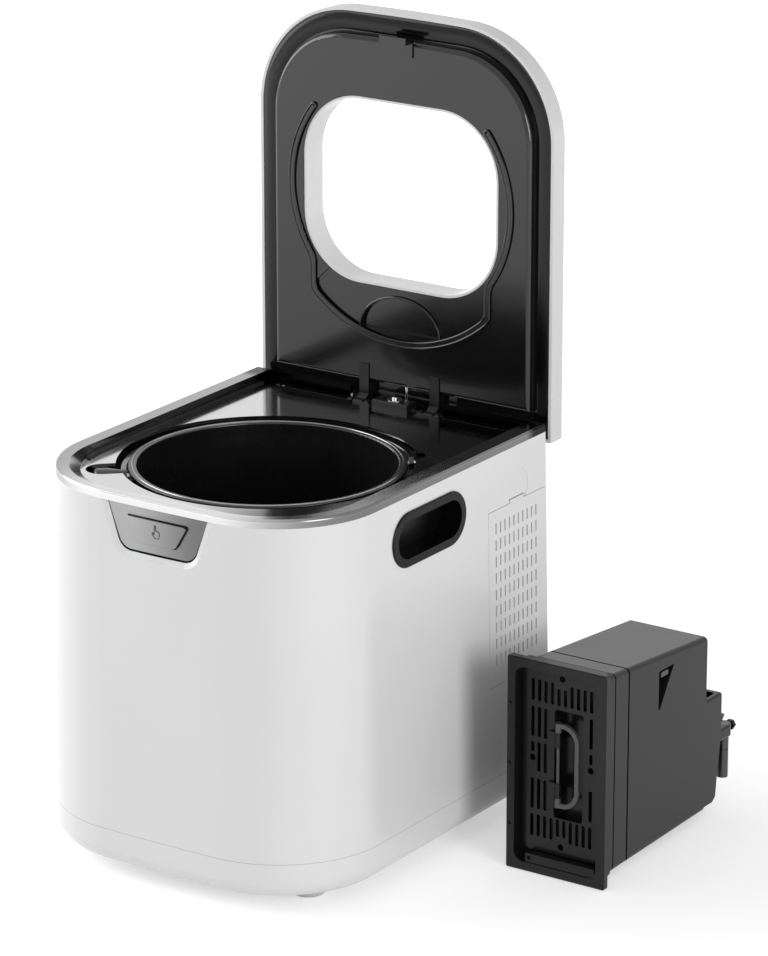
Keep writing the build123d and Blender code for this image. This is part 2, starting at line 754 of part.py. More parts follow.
with BuildPart() as agitator:
    with BuildSketch(Plane.XZ.offset(-well_y)):
        with BuildLine():
            l1 = Polyline(
                (0, bucket_floor_top + 0.8),
                (hub_radius, bucket_floor_top + 0.8),
                (hub_radius, bucket_floor_top + 10),
                (hub_radius - 4, bucket_floor_top + hub_height - 8),
            )
            l2 = Line(l1 @ 1, (0, bucket_floor_top + hub_height))
            Line(l2 @ 1, (0, bucket_floor_top + 0.8))
        make_face()
    revolve(axis=bucket_axis)
    with BuildSketch(Plane.XY.offset(bucket_floor_top)):
        with Locations((0, well_y)):
            Circle(bearing_radius + 0.6)
    extrude(amount=bucket_floor_bottom + 10.0 + 0.6 - bucket_floor_top, mode=Mode.SUBTRACT)
    # swept scraper arms, each with a raised tip
    for turn in (0, 120, 240):
        with BuildSketch(Plane((0, well_y, blade_floor), x_dir=(cos(radians(turn)), sin(radians(turn)), 0))):
            with BuildLine():
                outer = ThreePointArc((hub_radius - 3, -6), (blade_reach * 0.6, -16), (blade_reach, 2))
                inner = ThreePointArc((blade_reach - 3, 8), (blade_reach * 0.55, -4), (hub_radius - 3, 6))
                Line(outer @ 1, inner @ 0)
                Line(inner @ 1, outer @ 0)
            make_face()
        extrude(amount=9.0)
        with BuildSketch(Plane((0, well_y, blade_floor), x_dir=(cos(radians(turn)), sin(radians(turn)), 0))):
            with Locations((blade_reach - 8, 3)):
                SlotOverall(15, 5, rotation=50)
        extrude(amount=24.0, taper=4)
    with BuildSketch(Plane.XY.offset(shaft_end)):
        with Locations((0, well_y)):
            Circle(agitator_shaft_radius)
    extrude(amount=bucket_floor_top + 14 - shaft_end)
    with BuildSketch(Plane.XY.offset(shaft_end)):
        with Locations((0, well_y)):
            SlotOverall(2 * coupler_radius - 3, 6.0, rotation=90)
    extrude(amount=dog_height - 2 * seat_gap)
keep(agitator.part, "agitator")

# --- hinge at the rear -------------------------------------------------------
bracket_floor = 296.0
bracket_plate = 2.0
bracket_front = trough_end_y - 1.8
bracket_rear = hinge_y + 3.2
hinge_axis = Axis((0, hinge_y, hinge_z), (1, 0, 0))
lug_thickness = 4.0
cap_radius = 2.95
cap_length = 3.0

with BuildPart() as hinge_bracket:
    with BuildSketch(Plane.XY.offset(bracket_floor)):
        with Locations((0, bracket_front)):
            Rectangle(
                2 * trough_half_length, bracket_rear - bracket_front, align=(Align.CENTER, Align.MIN)
            )
    extrude(amount=bracket_plate)
    with BuildSketch(Plane.XY.offset(bracket_floor)):
        with Locations((0, bracket_front)):
            Rectangle(2 * trough_half_length, 1.5, align=(Align.CENTER, Align.MIN))
    extrude(amount=deck_level - deck_thickness - bracket_floor)
    # closed lugs beside each lid arm
    for lug_x in (-42.0, -26.0, 26.0, 42.0):
        with BuildSketch(Plane.YZ.offset(lug_x - lug_thickness / 2)):
            with Locations((hinge_y, hinge_z)):
                Circle(5.0)
            with Locations((hinge_y - 1, bracket_floor + 1)):
                Rectangle(8, hinge_z - bracket_floor - 1, align=(Align.CENTER, Align.MIN))
        extrude(amount=lug_thickness)
    # half-round saddles near the rod's ends
    for lug_x in (-104.0, 104.0):
        with BuildSketch(Plane.YZ.offset(lug_x - lug_thickness / 2)):
            with Locations((hinge_y, bracket_floor + 1)):
                Rectangle(6.0, hinge_z - bracket_floor + 2.5, align=(Align.MAX, Align.MIN))
        extrude(amount=lug_thickness)
    with BuildSketch(Plane.YZ):
        with Locations((hinge_y, hinge_z)):
            Circle(rod_radius + shaft_gap)
    extrude(amount=trough_half_length, both=True, mode=Mode.SUBTRACT)
keep(hinge_bracket.part, "hinge_bracket")

with BuildPart() as hinge_rod:
    with BuildSketch(Plane.YZ):
        with Locations((hinge_y, hinge_z)):
            Circle(rod_radius)
    extrude(amount=rod_half_length, both=True)
keep(hinge_rod.part, "hinge_rod")

with BuildPart() as rod_caps:
    for lug_x in (rod_half_length, -rod_half_length - cap_length):
        with BuildSketch(Plane.YZ.offset(lug_x)):
            with Locations((hinge_y, hinge_z)):
                RegularPolygon(cap_radius, 8)
        extrude(amount=cap_length)
keep(rod_caps.part, "rod_caps")

switch_x = 2.0
switch_y = hinge_y - 2.5
switch_front = trough_end_y - 2.7
switch_top = 316.5
plunger_radius = 2.2
plunger_travel = 1.6

with BuildPart() as switch_block:
    with BuildSketch(Plane.XY.offset(deck_level)):
        with Locations((switch_x, switch_front)):
            Rectangle(34, 14.5, align=(Align.CENTER, Align.MIN))
    extrude(amount=switch_top - deck_level)
    chamfer(switch_block.edges().group_by(Axis.Z)[-1], length=0.8)
    with BuildSketch(Plane.XY.offset(bracket_floor + bracket_plate)):
        with Locations((switch_x, trough_end_y + 0.3)):
            Rectangle(34, 3.6, align=(Align.CENTER, Align.MIN))
    extrude(amount=deck_level - bracket_floor - bracket_plate)
    with BuildSketch(Plane.XY.offset(deck_level)):
        with Locations((switch_x, switch_y)):
            Circle(plunger_radius + shaft_gap)
    extrude(amount=switch_top, mode=Mode.SUBTRACT)
keep(switch_block.part, "switch_block")

with BuildPart() as switch_disc:
    with BuildSketch(Plane.XY.offset(switch_top)):
        with Locations((switch_x, switch_y)):
            Circle(6.0)
            Circle(plunger_radius + shaft_gap, mode=Mode.SUBTRACT)
    extrude(amount=0.5)
keep(switch_disc.part, "switch_disc")

with BuildPart() as switch_plunger:
    with BuildSketch(Plane.XY.offset(deck_level + plunger_travel + seat_gap)):
        with Locations((switch_x, switch_y)):
            Circle(plunger_radius)
    extrude(amount=switch_top + 2.4 - deck_level - plunger_travel - seat_gap)
    fillet(switch_plunger.edges().group_by(Axis.Z)[-1], radius=0.8)
keep(switch_plunger.part, "switch_plunger")

# --- latch and open button ---------------------------------------------------
latch_y = catch_y - 5.5
latch_z = 297.5
latch_pin_radius = 1.5
tooth_bottom = 305.5
tooth_top = 308.3
tooth_reach = latch_y + 4.0
arm_front = latch_y - 1.5
arm_back = latch_y + 1.0
arm_bottom = 286.0
stem_low = 286.5
stem_high = 289.5
rocker_half_width = 6.5
guide_front = latch_y - 3.6
guide_rear = latch_y + 3.0
guide_floor = 282.0
guide_step = 301.6

with BuildPart() as latch_rocker:
    with BuildSketch(Plane.YZ):
        with Locations((latch_y, latch_z)):
            Circle(3.0)
        with BuildLine():
            Polyline(
                (arm_front, arm_bottom),
                (arm_back, arm_bottom),
                (arm_back, tooth_bottom),
                (tooth_reach, tooth_bottom),
                (tooth_reach - 2.0, tooth_top),
                (arm_front, tooth_top),
                close=True,
            )
        make_face()
        with Locations((latch_y, latch_z)):
            Circle(latch_pin_radius + shaft_gap, mode=Mode.SUBTRACT)
    extrude(amount=rocker_half_width, both=True)
keep(latch_rocker.part, "latch_rocker")

with BuildPart() as latch_guide:
    for side in (-1, 1):
        with BuildSketch(Plane.YZ.offset(side * 9.5)):
            with BuildLine():
                Polyline(
                    (guide_front, guide_floor),
                    (guide_rear, guide_floor),
                    (guide_rear, guide_step),
                    (latch_y + 1.3, guide_step),
                    (latch_y + 1.3, shell_top - rim_leg),
                    (guide_front, shell_top - rim_leg),
                    close=True,
                )
            make_face()
        extrude(amount=1.5, both=True)
    with BuildSketch(Plane.XY.offset(guide_floor)):
        with Locations((0, (guide_front + guide_rear) / 2)):
            Rectangle(20, guide_rear - guide_front)
    extrude(amount=2.0)
    with BuildSketch(Plane.YZ):
        with Locations((latch_y, latch_z)):
            Circle(latch_pin_radius)
    extrude(amount=9.5, both=True)
keep(latch_guide.part, "latch_guide")

button_proud = 2.8
button_back = 6.2
with BuildPart() as open_button:
    with BuildSketch(panel_plane):
        add(button_outline(0))
    extrude(amount=14)
    add(drafted_block(seam_height, shell_top, panel_sink - button_proud), mode=Mode.INTERSECT)
    add(drafted_block(seam_height, shell_top, button_back), mode=Mode.SUBTRACT)
    fillet(open_button.faces().sort_by(Axis.Y)[0].outer_wire().edges(), radius=0.6)
flange_front = panel_sink + panel_plate + seat_gap
with BuildPart() as button_flange:
    with BuildSketch(panel_plane):
        add(button_outline(1.6))
        Rectangle(26, 700, mode=Mode.SUBTRACT)
    extrude(amount=14)
    add(drafted_block(seam_height, shell_top, flange_front), mode=Mode.INTERSECT)
    add(drafted_block(seam_height, shell_top, flange_front + 1.5), mode=Mode.SUBTRACT)
with BuildPart() as button_stem:
    with Locations((0, arm_front - seat_gap, (stem_low + stem_high) / 2)):
        Box(10, 5.4, stem_high - stem_low, align=(Align.CENTER, Align.MAX, Align.CENTER))
with BuildPart() as whole_button:
    add(open_button.part)
    add(button_flange.part)
    add(button_stem.part)
keep(whole_button.part, "open_button")

# --- inside the housing: filter bay, board, fan, inlet -----------------------
bay_wall = 2.0
bay_inner_x = body_half - 62.0
bay_front = well_y + 106.0
bay_rear = body_rear - 7.0
bay_low = 124.0
bay_high = 262.0
with BuildPart() as filter_bay:
    with BuildSketch(Plane.XY.offset(bay_low)):
        with Locations((bay_inner_x, bay_front)):
            Rectangle(body_half, bay_rear - bay_front, align=(Align.MIN, Align.MIN))
    extrude(amount=bay_high - bay_low)
    with BuildSketch(Plane.XY.offset(bay_low + bay_wall)):
        with Locations((bay_inner_x + bay_wall, bay_front + bay_wall)):
            Rectangle(
                body_half, bay_rear - bay_front - 2 * bay_wall, align=(Align.MIN, Align.MIN)
            )
    extrude(amount=bay_high - bay_low - 2 * bay_wall, mode=Mode.SUBTRACT)
    add(drafted_block(seam_height, shell_top, shell_wall + fit_gap), mode=Mode.INTERSECT)
    with BuildSketch(Plane.YZ.offset(bay_inner_x)):
        with Locations(((bay_front + bay_rear) / 2, bay_low + 30)):
            Circle(14)
    extrude(amount=bay_wall, mode=Mode.SUBTRACT)
keep(filter_bay.part, "filter_bay")

board_y = body_front + 15.0
board_half = 40.0
board_low = 226.0
board_high = 270.0
with BuildPart() as control_board:
    with BuildSketch(Plane.XZ.offset(-board_y)):
        with Locations((0, (board_low + board_high) / 2)):
            Rectangle(2 * board_half, board_high - board_low)
    extrude(amount=-1.6)
    with Locations((-20, board_y + 1.6, board_low + 15), (18, board_y + 1.6, board_low + 26)):
        Box(14, 5, 14, align=(Align.CENTER, Align.MIN, Align.CENTER))
keep(control_board.part, "control_board")

with BuildPart() as board_posts:
    with BuildSketch(Plane.XZ.offset(-board_y)):
        with Locations((0, (board_low + board_high) / 2)):
            with GridLocations(2 * board_half - 8, board_high - board_low - 8, 2, 2):
                Circle(3)
    extrude(amount=20)
    add(drafted_block(seam_height, shell_top, shell_wall), mode=Mode.INTERSECT)
keep(board_posts.part, "board_posts")

fan_rear = body_rear - 0.8
fan_bore = 37.5
with BuildPart() as exhaust_fan_frame:
    with BuildSketch(Plane.XZ.offset(-fan_rear)):
        with Locations((fan_x, fan_z)):
            RectangleRounded(fan_frame_side, fan_frame_side, 4)
            Circle(fan_bore, mode=Mode.SUBTRACT)
            with GridLocations(fan_frame_side - 9, fan_frame_side - 9, 2, 2):
                Circle(2.2, mode=Mode.SUBTRACT)
    extrude(amount=fan_frame_depth)
    with BuildSketch(Plane.XZ.offset(-fan_rear + fan_frame_depth)):
        with Locations((fan_x, fan_z)):
            Circle(16)
            for turn in (45, 135):
                Rectangle(2 * fan_bore + 2, 4, rotation=turn)
    extrude(amount=-2.5)
    with BuildSketch(Plane.XZ.offset(-fan_rear + fan_frame_depth)):
        with Locations((fan_x, fan_z)):
            Circle(1.5)
    extrude(amount=-14)
keep(exhaust_fan_frame.part, "exhaust_fan_frame")

with BuildPart() as exhaust_fan_rotor:
    with BuildSketch(Plane.XZ.offset(-fan_rear + 4)):
        with Locations((fan_x, fan_z)):
            Circle(15)
            with PolarLocations(25, 7):
                Rectangle(22, 2.2, rotation=12)
    extrude(amount=12)
    with BuildSketch(Plane.XZ.offset(-fan_rear)):
        with Locations((fan_x, fan_z)):
            Circle(1.5 + shaft_gap)
    extrude(amount=fan_frame_depth, mode=Mode.SUBTRACT)
keep(exhaust_fan_rotor.part, "exhaust_fan_rotor")

inlet_front = body_rear - 17.0
with BuildPart() as power_inlet:
    with BuildSketch(Plane.XZ.offset(-inlet_front)):
        with Locations((inlet_x, inlet_z)):
            RectangleRounded(inlet_width, inlet_height, 2)
    extrude(amount=-21)
    with BuildSketch(Plane.XZ.offset(-inlet_front - 6)):
        with Locations((inlet_x, inlet_z)):
            RectangleRounded(inlet_width - 4, inlet_height - 4, 2)
    extrude(amount=-20, mode=Mode.SUBTRACT)
keep(power_inlet.part, "power_inlet")

with BuildPart() as inlet_pins:
    with BuildSketch(Plane.XZ.offset(-inlet_front - 6)):
        with Locations((inlet_x, inlet_z)):
            with Locations((-7, -2), (7, -2), (0, 3)):
                Rectangle(2, 4.5)
    extrude(amount=-12)
keep(inlet_pins.part, "inlet_pins")

# --- lid, drawn closed and then swung open -----------------------------------
lid_top = lid_plane + lid_thickness
lid_edge_rounding = 5.0
panel_inset = lid_wall + 0.4
panel_bed = lid_plane + 0.5
plate_level = panel_bed - plate_drop - 0.5
plate_rounding = 4.0
pane_thickness = 2.4
pane_top = lid_top - 0.3
bezel_wall = 2.0
bezel_top = pane_top - pane_thickness - seat_gap
rib_centre = 104.5
rib_width = 6.0
rib_height = 1.6
rib_front_angle = 37.7
rib_rear_angle = 40.0
crescent_radius = 122.0
crescent_depth = 1.2
finger_half = 37.0
finger_near = 85.0
finger_far = 113.0


def swing_open(piece):
    """Turns a lid piece from its closed place to the open one."""
    return piece.rotate(hinge_axis, -90)


def window_outline(grow):
    """The rounded window, seen from above with the lid closed."""
    with BuildSketch() as outline:
        with Locations((0, well_y)):
            RectangleRounded(
                window_width + 2 * grow, window_height + 2 * grow, window_rounding + grow
            )
    return outline.sketch


def rib_band(radius, width, start, size):
    """A flat curved band about the bucket's axis."""
    with BuildSketch() as band:
        with Locations((0, well_y)):
            Circle(radius + width / 2)
            Circle(radius - width / 2, mode=Mode.SUBTRACT)
        reach = 2 * radius
        with BuildSketch(mode=Mode.PRIVATE) as wedge:
            with BuildLine():
                Polyline(
                    (0, well_y),
                    (reach * cos(radians(start)), well_y + reach * sin(radians(start))),
                    (
                        reach * 1.2 * cos(radians(start + size / 2)),
                        well_y + reach * 1.2 * sin(radians(start + size / 2)),
                    ),
                    (reach * cos(radians(start + size)), well_y + reach * sin(radians(start + size))),
                    close=True,
                )
            make_face()
        add(wedge.sketch, mode=Mode.INTERSECT)
    return band.sketch


with BuildPart() as lid_outer_shell:
    with BuildSketch(Plane.XY.offset(lid_plane)):
        add(body_plan(0))
    extrude(amount=lid_thickness)
    fillet(lid_outer_shell.edges().group_by(Axis.Z)[-1], radius=lid_edge_rounding)
    with BuildSketch(Plane.XY.offset(lid_plane)):
        add(body_plan(lid_wall))
    extrude(amount=lid_thickness - lid_wall, mode=Mode.SUBTRACT)
    with BuildSketch(Plane.XY.offset(panel_bed + panel_thickness + seat_gap)):
        add(body_plan(lid_wall))
        add(body_plan(lid_wall + 2), mode=Mode.SUBTRACT)
    extrude(amount=lid_top - lid_wall - panel_bed - panel_thickness - seat_gap)
    with BuildSketch(Plane.XY.offset(lid_plane)):
        add(window_outline(bezel_wall + fit_gap))
    extrude(amount=lid_thickness, mode=Mode.SUBTRACT)
keep(swing_open(lid_outer_shell.part), "lid_outer_shell")

with BuildPart() as lid_inner_panel:
    with BuildSketch(Plane.XY.offset(panel_bed)):
        add(body_plan(panel_inset))
    extrude(amount=panel_thickness)
    with BuildSketch(Plane.XY.offset(plate_level)):
        add(body_plan(plate_margin, plate_front_margin, plate_rear_margin))
    extrude(amount=panel_bed - plate_level)
    fillet(lid_inner_panel.edges().group_by(Axis.Z)[0], radius=plate_rounding)
    with BuildSketch(Plane.XY.offset(plate_level + panel_thickness)):
        add(
            body_plan(
                plate_margin + panel_thickness,
                plate_front_margin + panel_thickness,
                plate_rear_margin + panel_thickness,
            )
        )
    extrude(amount=lid_thickness, mode=Mode.SUBTRACT)
    # thicker floor under the finger pocket behind the window
    with BuildSketch(Plane.XY.offset(plate_level + panel_thickness)):
        with Locations((0, well_y + (finger_near + finger_far) / 2)):
            RectangleRounded(2 * finger_half + 8, finger_far - finger_near + 8, 6)
    extrude(amount=3.0)
    with BuildSketch(Plane.XY.offset(plate_level)):
        add(rib_band((window_height / 2 + crescent_radius) / 2, crescent_radius - window_height / 2 - 2,
                     rib_rear_angle + 5, 170 - 2 * rib_rear_angle))
    extrude(amount=crescent_depth, mode=Mode.SUBTRACT)
    with BuildSketch(Plane.XY.offset(plate_level)):
        with Locations((0, well_y + finger_far)):
            Ellipse(finger_half, finger_far - finger_near)
        with Locations((0, well_y + finger_far)):
            Rectangle(3 * finger_half, 60, align=(Align.CENTER, Align.MIN), mode=Mode.SUBTRACT)
    extrude(amount=3.6, mode=Mode.SUBTRACT)
    with BuildSketch(Plane.XY.offset(plate_level)):
        add(window_outline(bezel_wall + fit_gap))
    extrude(amount=lid_thickness, mode=Mode.SUBTRACT)
keep(swing_open(lid_inner_panel.part), "lid_inner_panel")

with BuildPart() as lid_window_bezel:
    with BuildSketch(Plane.XY.offset(plate_level + 0.4)):
        add(window_outline(bezel_wall))
        add(window_outline(0), mode=Mode.SUBTRACT)
    extrude(amount=bezel_top - plate_level - 0.4)
    with BuildSketch(Plane.XY.offset(lid_top - lid_wall - seat_gap - 1.6)):
        add(window_outline(bezel_wall + 4))
        add(window_outline(0), mode=Mode.SUBTRACT)
    extrude(amount=1.6)
keep(swing_open(lid_window_bezel.part), "lid_window_bezel")

with BuildPart() as lid_window:
    with BuildSketch(Plane.XY.offset(pane_top - pane_thickness)):
        add(window_outline(bezel_wall))
    extrude(amount=pane_thickness)
keep(swing_open(lid_window.part), "lid_window")

with BuildPart() as lid_seal_rib:
    with BuildSketch(Plane.XY.offset(plate_level - rib_height)):
        add(rib_band(rib_centre, rib_width, -rib_front_angle, rib_front_angle + rib_rear_angle))
        add(rib_band(rib_centre, rib_width, 180 - rib_rear_angle, rib_front_angle + rib_rear_angle))
        add(rib_band(crescent_radius, rib_width, rib_rear_angle, 180 - 2 * rib_rear_angle))
        add(
            rib_band(
                (rib_centre + crescent_radius) / 2, crescent_radius - rib_centre, rib_rear_angle, 3.5
            )
        )
        add(
            rib_band(
                (rib_centre + crescent_radius) / 2,
                crescent_radius - rib_centre,
                176.5 - rib_rear_angle,
                3.5,
            )
        )
    extrude(amount=rib_height)
keep(swing_open(lid_seal_rib.part), "lid_seal_rib")

catch_half = 12.5
catch_low = tooth_bottom - 3.2
with BuildPart() as lid_catch:
    with BuildSketch(Plane.YZ):
        with BuildLine():
            Polyline(
                (catch_y - 3.5, catch_low),
                (catch_y + 2.3, catch_low),
                (catch_y + 2.3, plate_level - 1.4),
                (catch_y + 14.0, plate_level - 1.4),
                (catch_y + 14.0, plate_level),
                (catch_y + 6.0, plate_level),
                (catch_y - 0.2, plate_level),
                (catch_y - 0.2, tooth_bottom - 0.5),
                (catch_y - 2.5, tooth_bottom - 0.5),
                close=True,
            )
        make_face()
    extrude(amount=catch_half, both=True)
keep(swing_open(lid_catch.part), "lid_catch")

# the arms start part of the way from the seal band to the hinge trough
seal_edge_y = well_y + crescent_radius + rib_width / 2
arm_root_share = 19.0 / 44.0
arm_root_y = seal_edge_y + arm_root_share * (trough_end_y - seal_edge_y)
arm_heel_y = body_rear - plate_rear_margin + 0.6
with BuildPart() as lid_hinge_arms:
    for side in (-1, 1):
        with BuildSketch(Plane.YZ.offset(side * hinge_arm_x)):
            with BuildLine():
                Polyline(
                    (arm_root_y, plate_level - 1.0),
                    (trough_end_y, plate_level - 1.0),
                    (hinge_y - 5.0, hinge_z + 2.0),
                    (hinge_y, hinge_z),
                    (hinge_y + 4.5, hinge_z + 3.0),
                    (hinge_y + 2.5, panel_bed),
                    (arm_heel_y, panel_bed),
                    (arm_heel_y, plate_level),
                    (arm_root_y, plate_level),
                    close=True,
                )
            make_face()
            with Locations((hinge_y, hinge_z)):
                Circle(2 * rod_radius)
                Circle(rod_radius + shaft_gap, mode=Mode.SUBTRACT)
        extrude(amount=hinge_arm_width / 2, both=True)
keep(swing_open(lid_hinge_arms.part), "lid_hinge_arms")

# --- filter unit, standing taken out beside the body -------------------------
filter_x = body_half + 97.7
frame_width = 90.0
frame_height = 177.0
frame_face = 28.0
frame_plate = 6.0
frame_collar_low = 4.0
frame_collar_high = frame_height - 4.0
frame_collar_wall = 2.5
frame_collar_rounding = 5.0
box_front = 46.0
box_rear = 195.0
box_half = 37.3
box_low = 5.0
box_high = 170.0
box_wall = 2.0
box_rounding = 4.0
box_draft_rear_low = 8.0
box_draft_rear_high = 157.0
recess_half = 37.5
recess_low = 7.5
recess_high = 169.5
recess_depth = 9.0
grille_thickness = 2.4
grille_low = 16.0
grille_high = 169.2
grille_half = 35.0
slot_pitch = 5.9
slot_width = 3.0
slot_columns = 10
row_low = [27.5, 50.5, 82.0, 110.7, 140.4]
row_high = [46.0, 76.0, 106.4, 135.8, 158.5]
handle_offset = 6.3
pocket_width = 26.0
pocket_low = 47.0
pocket_high = 137.0
loop_low = 57.0
loop_high = 127.0
loop_pin_x = filter_x - 2.2
grille_mid_z = 93.0
grille_front = frame_face + recess_depth
grille_back = grille_front + grille_thickness


def upright_block(half, low, high, near, far, rounding):
    """A block between two depths, its long edges rounded."""
    with BuildPart() as block:
        with BuildSketch(Plane.XZ.offset(-near)):
            with Locations((filter_x, (low + high) / 2)):
                RectangleRounded(2 * half, high - low, rounding)
        extrude(amount=near - far)
    return block.part


def tapered_box(inset, near, far):
    """The filter box, lower and flatter towards its rear."""
    with BuildPart() as block:
        with BuildSketch(Plane.XZ.offset(-near)):
            with Locations((filter_x, (box_low + box_high) / 2)):
                RectangleRounded(
                    2 * (box_half - inset), box_high - box_low - 2 * inset, box_rounding
                )
        with BuildSketch(Plane.XZ.offset(-far)):
            with Locations((filter_x, (box_draft_rear_low + box_draft_rear_high) / 2)):
                RectangleRounded(
                    2 * (box_half - inset),
                    box_draft_rear_high - box_draft_rear_low - 2 * inset,
                    box_rounding,
                )
        loft()
    return block.part


with BuildPart() as filter_front_frame:
    with BuildSketch(Plane.XZ.offset(-frame_face)):
        with Locations((filter_x, frame_height / 2)):
            RectangleRounded(frame_width, frame_height, 1.5)
    extrude(amount=-frame_plate)
    fillet(filter_front_frame.faces().sort_by(Axis.Y)[0].outer_wire().edges(), radius=1.2)
    add(
        upright_block(
            recess_half + frame_collar_wall,
            frame_collar_low,
            frame_collar_high,
            frame_face + frame_plate,
            box_front,
            frame_collar_rounding,
        )
    )
    add(
        upright_block(recess_half, recess_low, recess_high, frame_face - 1, grille_back, 8.0),
        mode=Mode.SUBTRACT,
    )
    add(
        upright_block(grille_half - 3, grille_low + 3, grille_high - 3, grille_back - 1, box_front + 1, 6.0),
        mode=Mode.SUBTRACT,
    )
    # sill below the grille
    with Locations((filter_x + 4, frame_face + 1, recess_low)):
        Box(
            2 * recess_half - 12,
            grille_back - frame_face - 1,
            7.5,
            align=(Align.CENTER, Align.MIN, Align.MIN),
        )
    with Locations((filter_x - 24, frame_face + 1, recess_low + 4)):
        Box(3, 4, 3, mode=Mode.SUBTRACT)
    # holes of the screws in the left border and in the right side
    with BuildSketch(Plane.XZ.offset(-frame_face)):
        with Locations((filter_x - frame_width / 2 + 3.6, 88.5)):
            with GridLocations(0, 50.5, 1, 3):
                Circle(1.6)
    extrude(amount=-4, mode=Mode.SUBTRACT)
keep(filter_front_frame.part, "filter_front_frame")

with BuildPart() as frame_screws:
    with BuildSketch(Plane.XZ.offset(-frame_face - 1.0)):
        with Locations((filter_x - frame_width / 2 + 3.6, 88.5)):
            with GridLocations(0, 50.5, 1, 3):
                Circle(1.5)
    extrude(amount=-3)
keep(frame_screws.part, "frame_screws")

with BuildPart() as filter_grille:
    with BuildSketch(Plane.XZ.offset(-grille_front)):
        with Locations((filter_x, (grille_low + grille_high) / 2)):
            RectangleRounded(2 * grille_half, grille_high - grille_low, 7.5)
        for row, low in enumerate(row_low):
            for column in range(slot_columns):
                slot_x = filter_x + (column - (slot_columns - 1) / 2) * slot_pitch
                high = row_high[row]
                bottom = low
                if row == 4 and column in (4, 5):
                    high -= 4.0
                if row == 0 and column in (4, 5):
                    bottom += 4.0
                in_pocket = abs(slot_x - filter_x - handle_offset) < pocket_width / 2 + 3
                if row in (1, 2, 3) and in_pocket:
                    continue
                if row == 2 and column in (0, slot_columns - 1):
                    bottom = grille_mid_z + 5.0
                with Locations((slot_x, (bottom + high) / 2)):
                    SlotOverall(high - bottom, slot_width, rotation=90, mode=Mode.SUBTRACT)
        with Locations((filter_x + handle_offset, (pocket_low + pocket_high) / 2)):
            RectangleRounded(pocket_width, pocket_high - pocket_low, 2, mode=Mode.SUBTRACT)
        with Locations(
            (filter_x, 163.0),
            (filter_x, 23.0),
            (filter_x - 4.5 * slot_pitch, grille_mid_z),
            (filter_x + 4.5 * slot_pitch, grille_mid_z),
        ):
            Circle(2.65, mode=Mode.SUBTRACT)
    extrude(amount=-grille_thickness)
    # pocket behind the handle, open to the front
    with BuildSketch(Plane.XZ.offset(-grille_back)):
        with Locations((filter_x + handle_offset, (pocket_low + pocket_high) / 2)):
            RectangleRounded(pocket_width + 3, pocket_high - pocket_low + 3, 3)
    extrude(amount=-10)
    with BuildSketch(Plane.XZ.offset(-grille_back)):
        with Locations((filter_x + handle_offset, (pocket_low + pocket_high) / 2)):
            RectangleRounded(pocket_width, pocket_high - pocket_low, 2)
    extrude(amount=-8.5, mode=Mode.SUBTRACT)
keep(filter_grille.part, "filter_grille")

# D-shaped handle on an upright pin at the pocket's left side
pin_plane_y = grille_front - 1.6
handle_pin_radius = 1.2
tab_low = loop_low + 8
tab_high = loop_high - 8
tab_height = 12.0
with BuildPart() as handle_tabs:
    for low in (tab_low, tab_high - tab_height):
        with BuildSketch(Plane.XY.offset(low)):
            with Locations((loop_pin_x, pin_plane_y)):
                Circle(2.6)
            with Locations((loop_pin_x, pin_plane_y - 1.0)):
                Rectangle(8.0, grille_front - pin_plane_y + 1.0, align=(Align.MAX, Align.MIN))
            with Locations((loop_pin_x, pin_plane_y)):
                Circle(handle_pin_radius + shaft_gap, mode=Mode.SUBTRACT)
            with Locations((filter_x, grille_front)):
                Rectangle(60, 20, align=(Align.CENTER, Align.MIN), mode=Mode.SUBTRACT)
        extrude(amount=tab_height)
keep(handle_tabs.part, "handle_tabs")

loop_width = 19.5
loop_bar = 3.6


def loop_outline(inset):
    """The D-shaped handle's outline, straight on its left side."""
    left = loop_pin_x + inset
    right = loop_pin_x + loop_width - inset
    low = loop_low + inset
    high = loop_high - inset
    with BuildSketch() as outline:
        with BuildLine():
            Polyline((left, low), (right, low), (right, high), (left, high), close=True)
        make_face()
        fillet(outline.vertices().group_by(Axis.X)[-1], radius=15 - inset)
    return outline.sketch


with BuildPart() as filter_handle:
    with BuildSketch(Plane.XZ.offset(-pin_plane_y + 1.5)):
        add(loop_outline(0))
        add(loop_outline(loop_bar), mode=Mode.SUBTRACT)
        with Locations((loop_pin_x, (loop_low + loop_high) / 2)):
            Rectangle(10, loop_high - loop_low - 2 * loop_bar, mode=Mode.SUBTRACT)
    extrude(amount=-3)
    for low in (loop_low, loop_high - 8.0 + seat_gap):
        with BuildSketch(Plane.XY.offset(low)):
            with Locations((loop_pin_x, pin_plane_y)):
                Circle(2.6)
        extrude(amount=8.0 - seat_gap)
    with BuildSketch(Plane.XY.offset(loop_low)):
        with Locations((loop_pin_x, pin_plane_y)):
            Circle(handle_pin_radius)
    extrude(amount=loop_high - loop_low)
keep(filter_handle.part, "filter_handle")

side_groove = 1.4
groove_places = ((box_front + 7.7, 1.5), (box_front + 27.8, 2.0))  # front edge and width of each


def groove_ring(groove_front, groove_width):
    """The ring that a groove takes out of the filter box's skin."""
    with BuildPart() as ring:
        add(tapered_box(0, box_front, box_rear))
        add(tapered_box(side_groove, box_front, box_rear), mode=Mode.SUBTRACT)
        with BuildSketch(Plane.XZ.offset(-groove_front)):
            with Locations((filter_x, frame_height / 2)):
                Rectangle(2 * frame_width, 2 * frame_height)
        extrude(amount=-groove_width, mode=Mode.INTERSECT)
    return ring.part


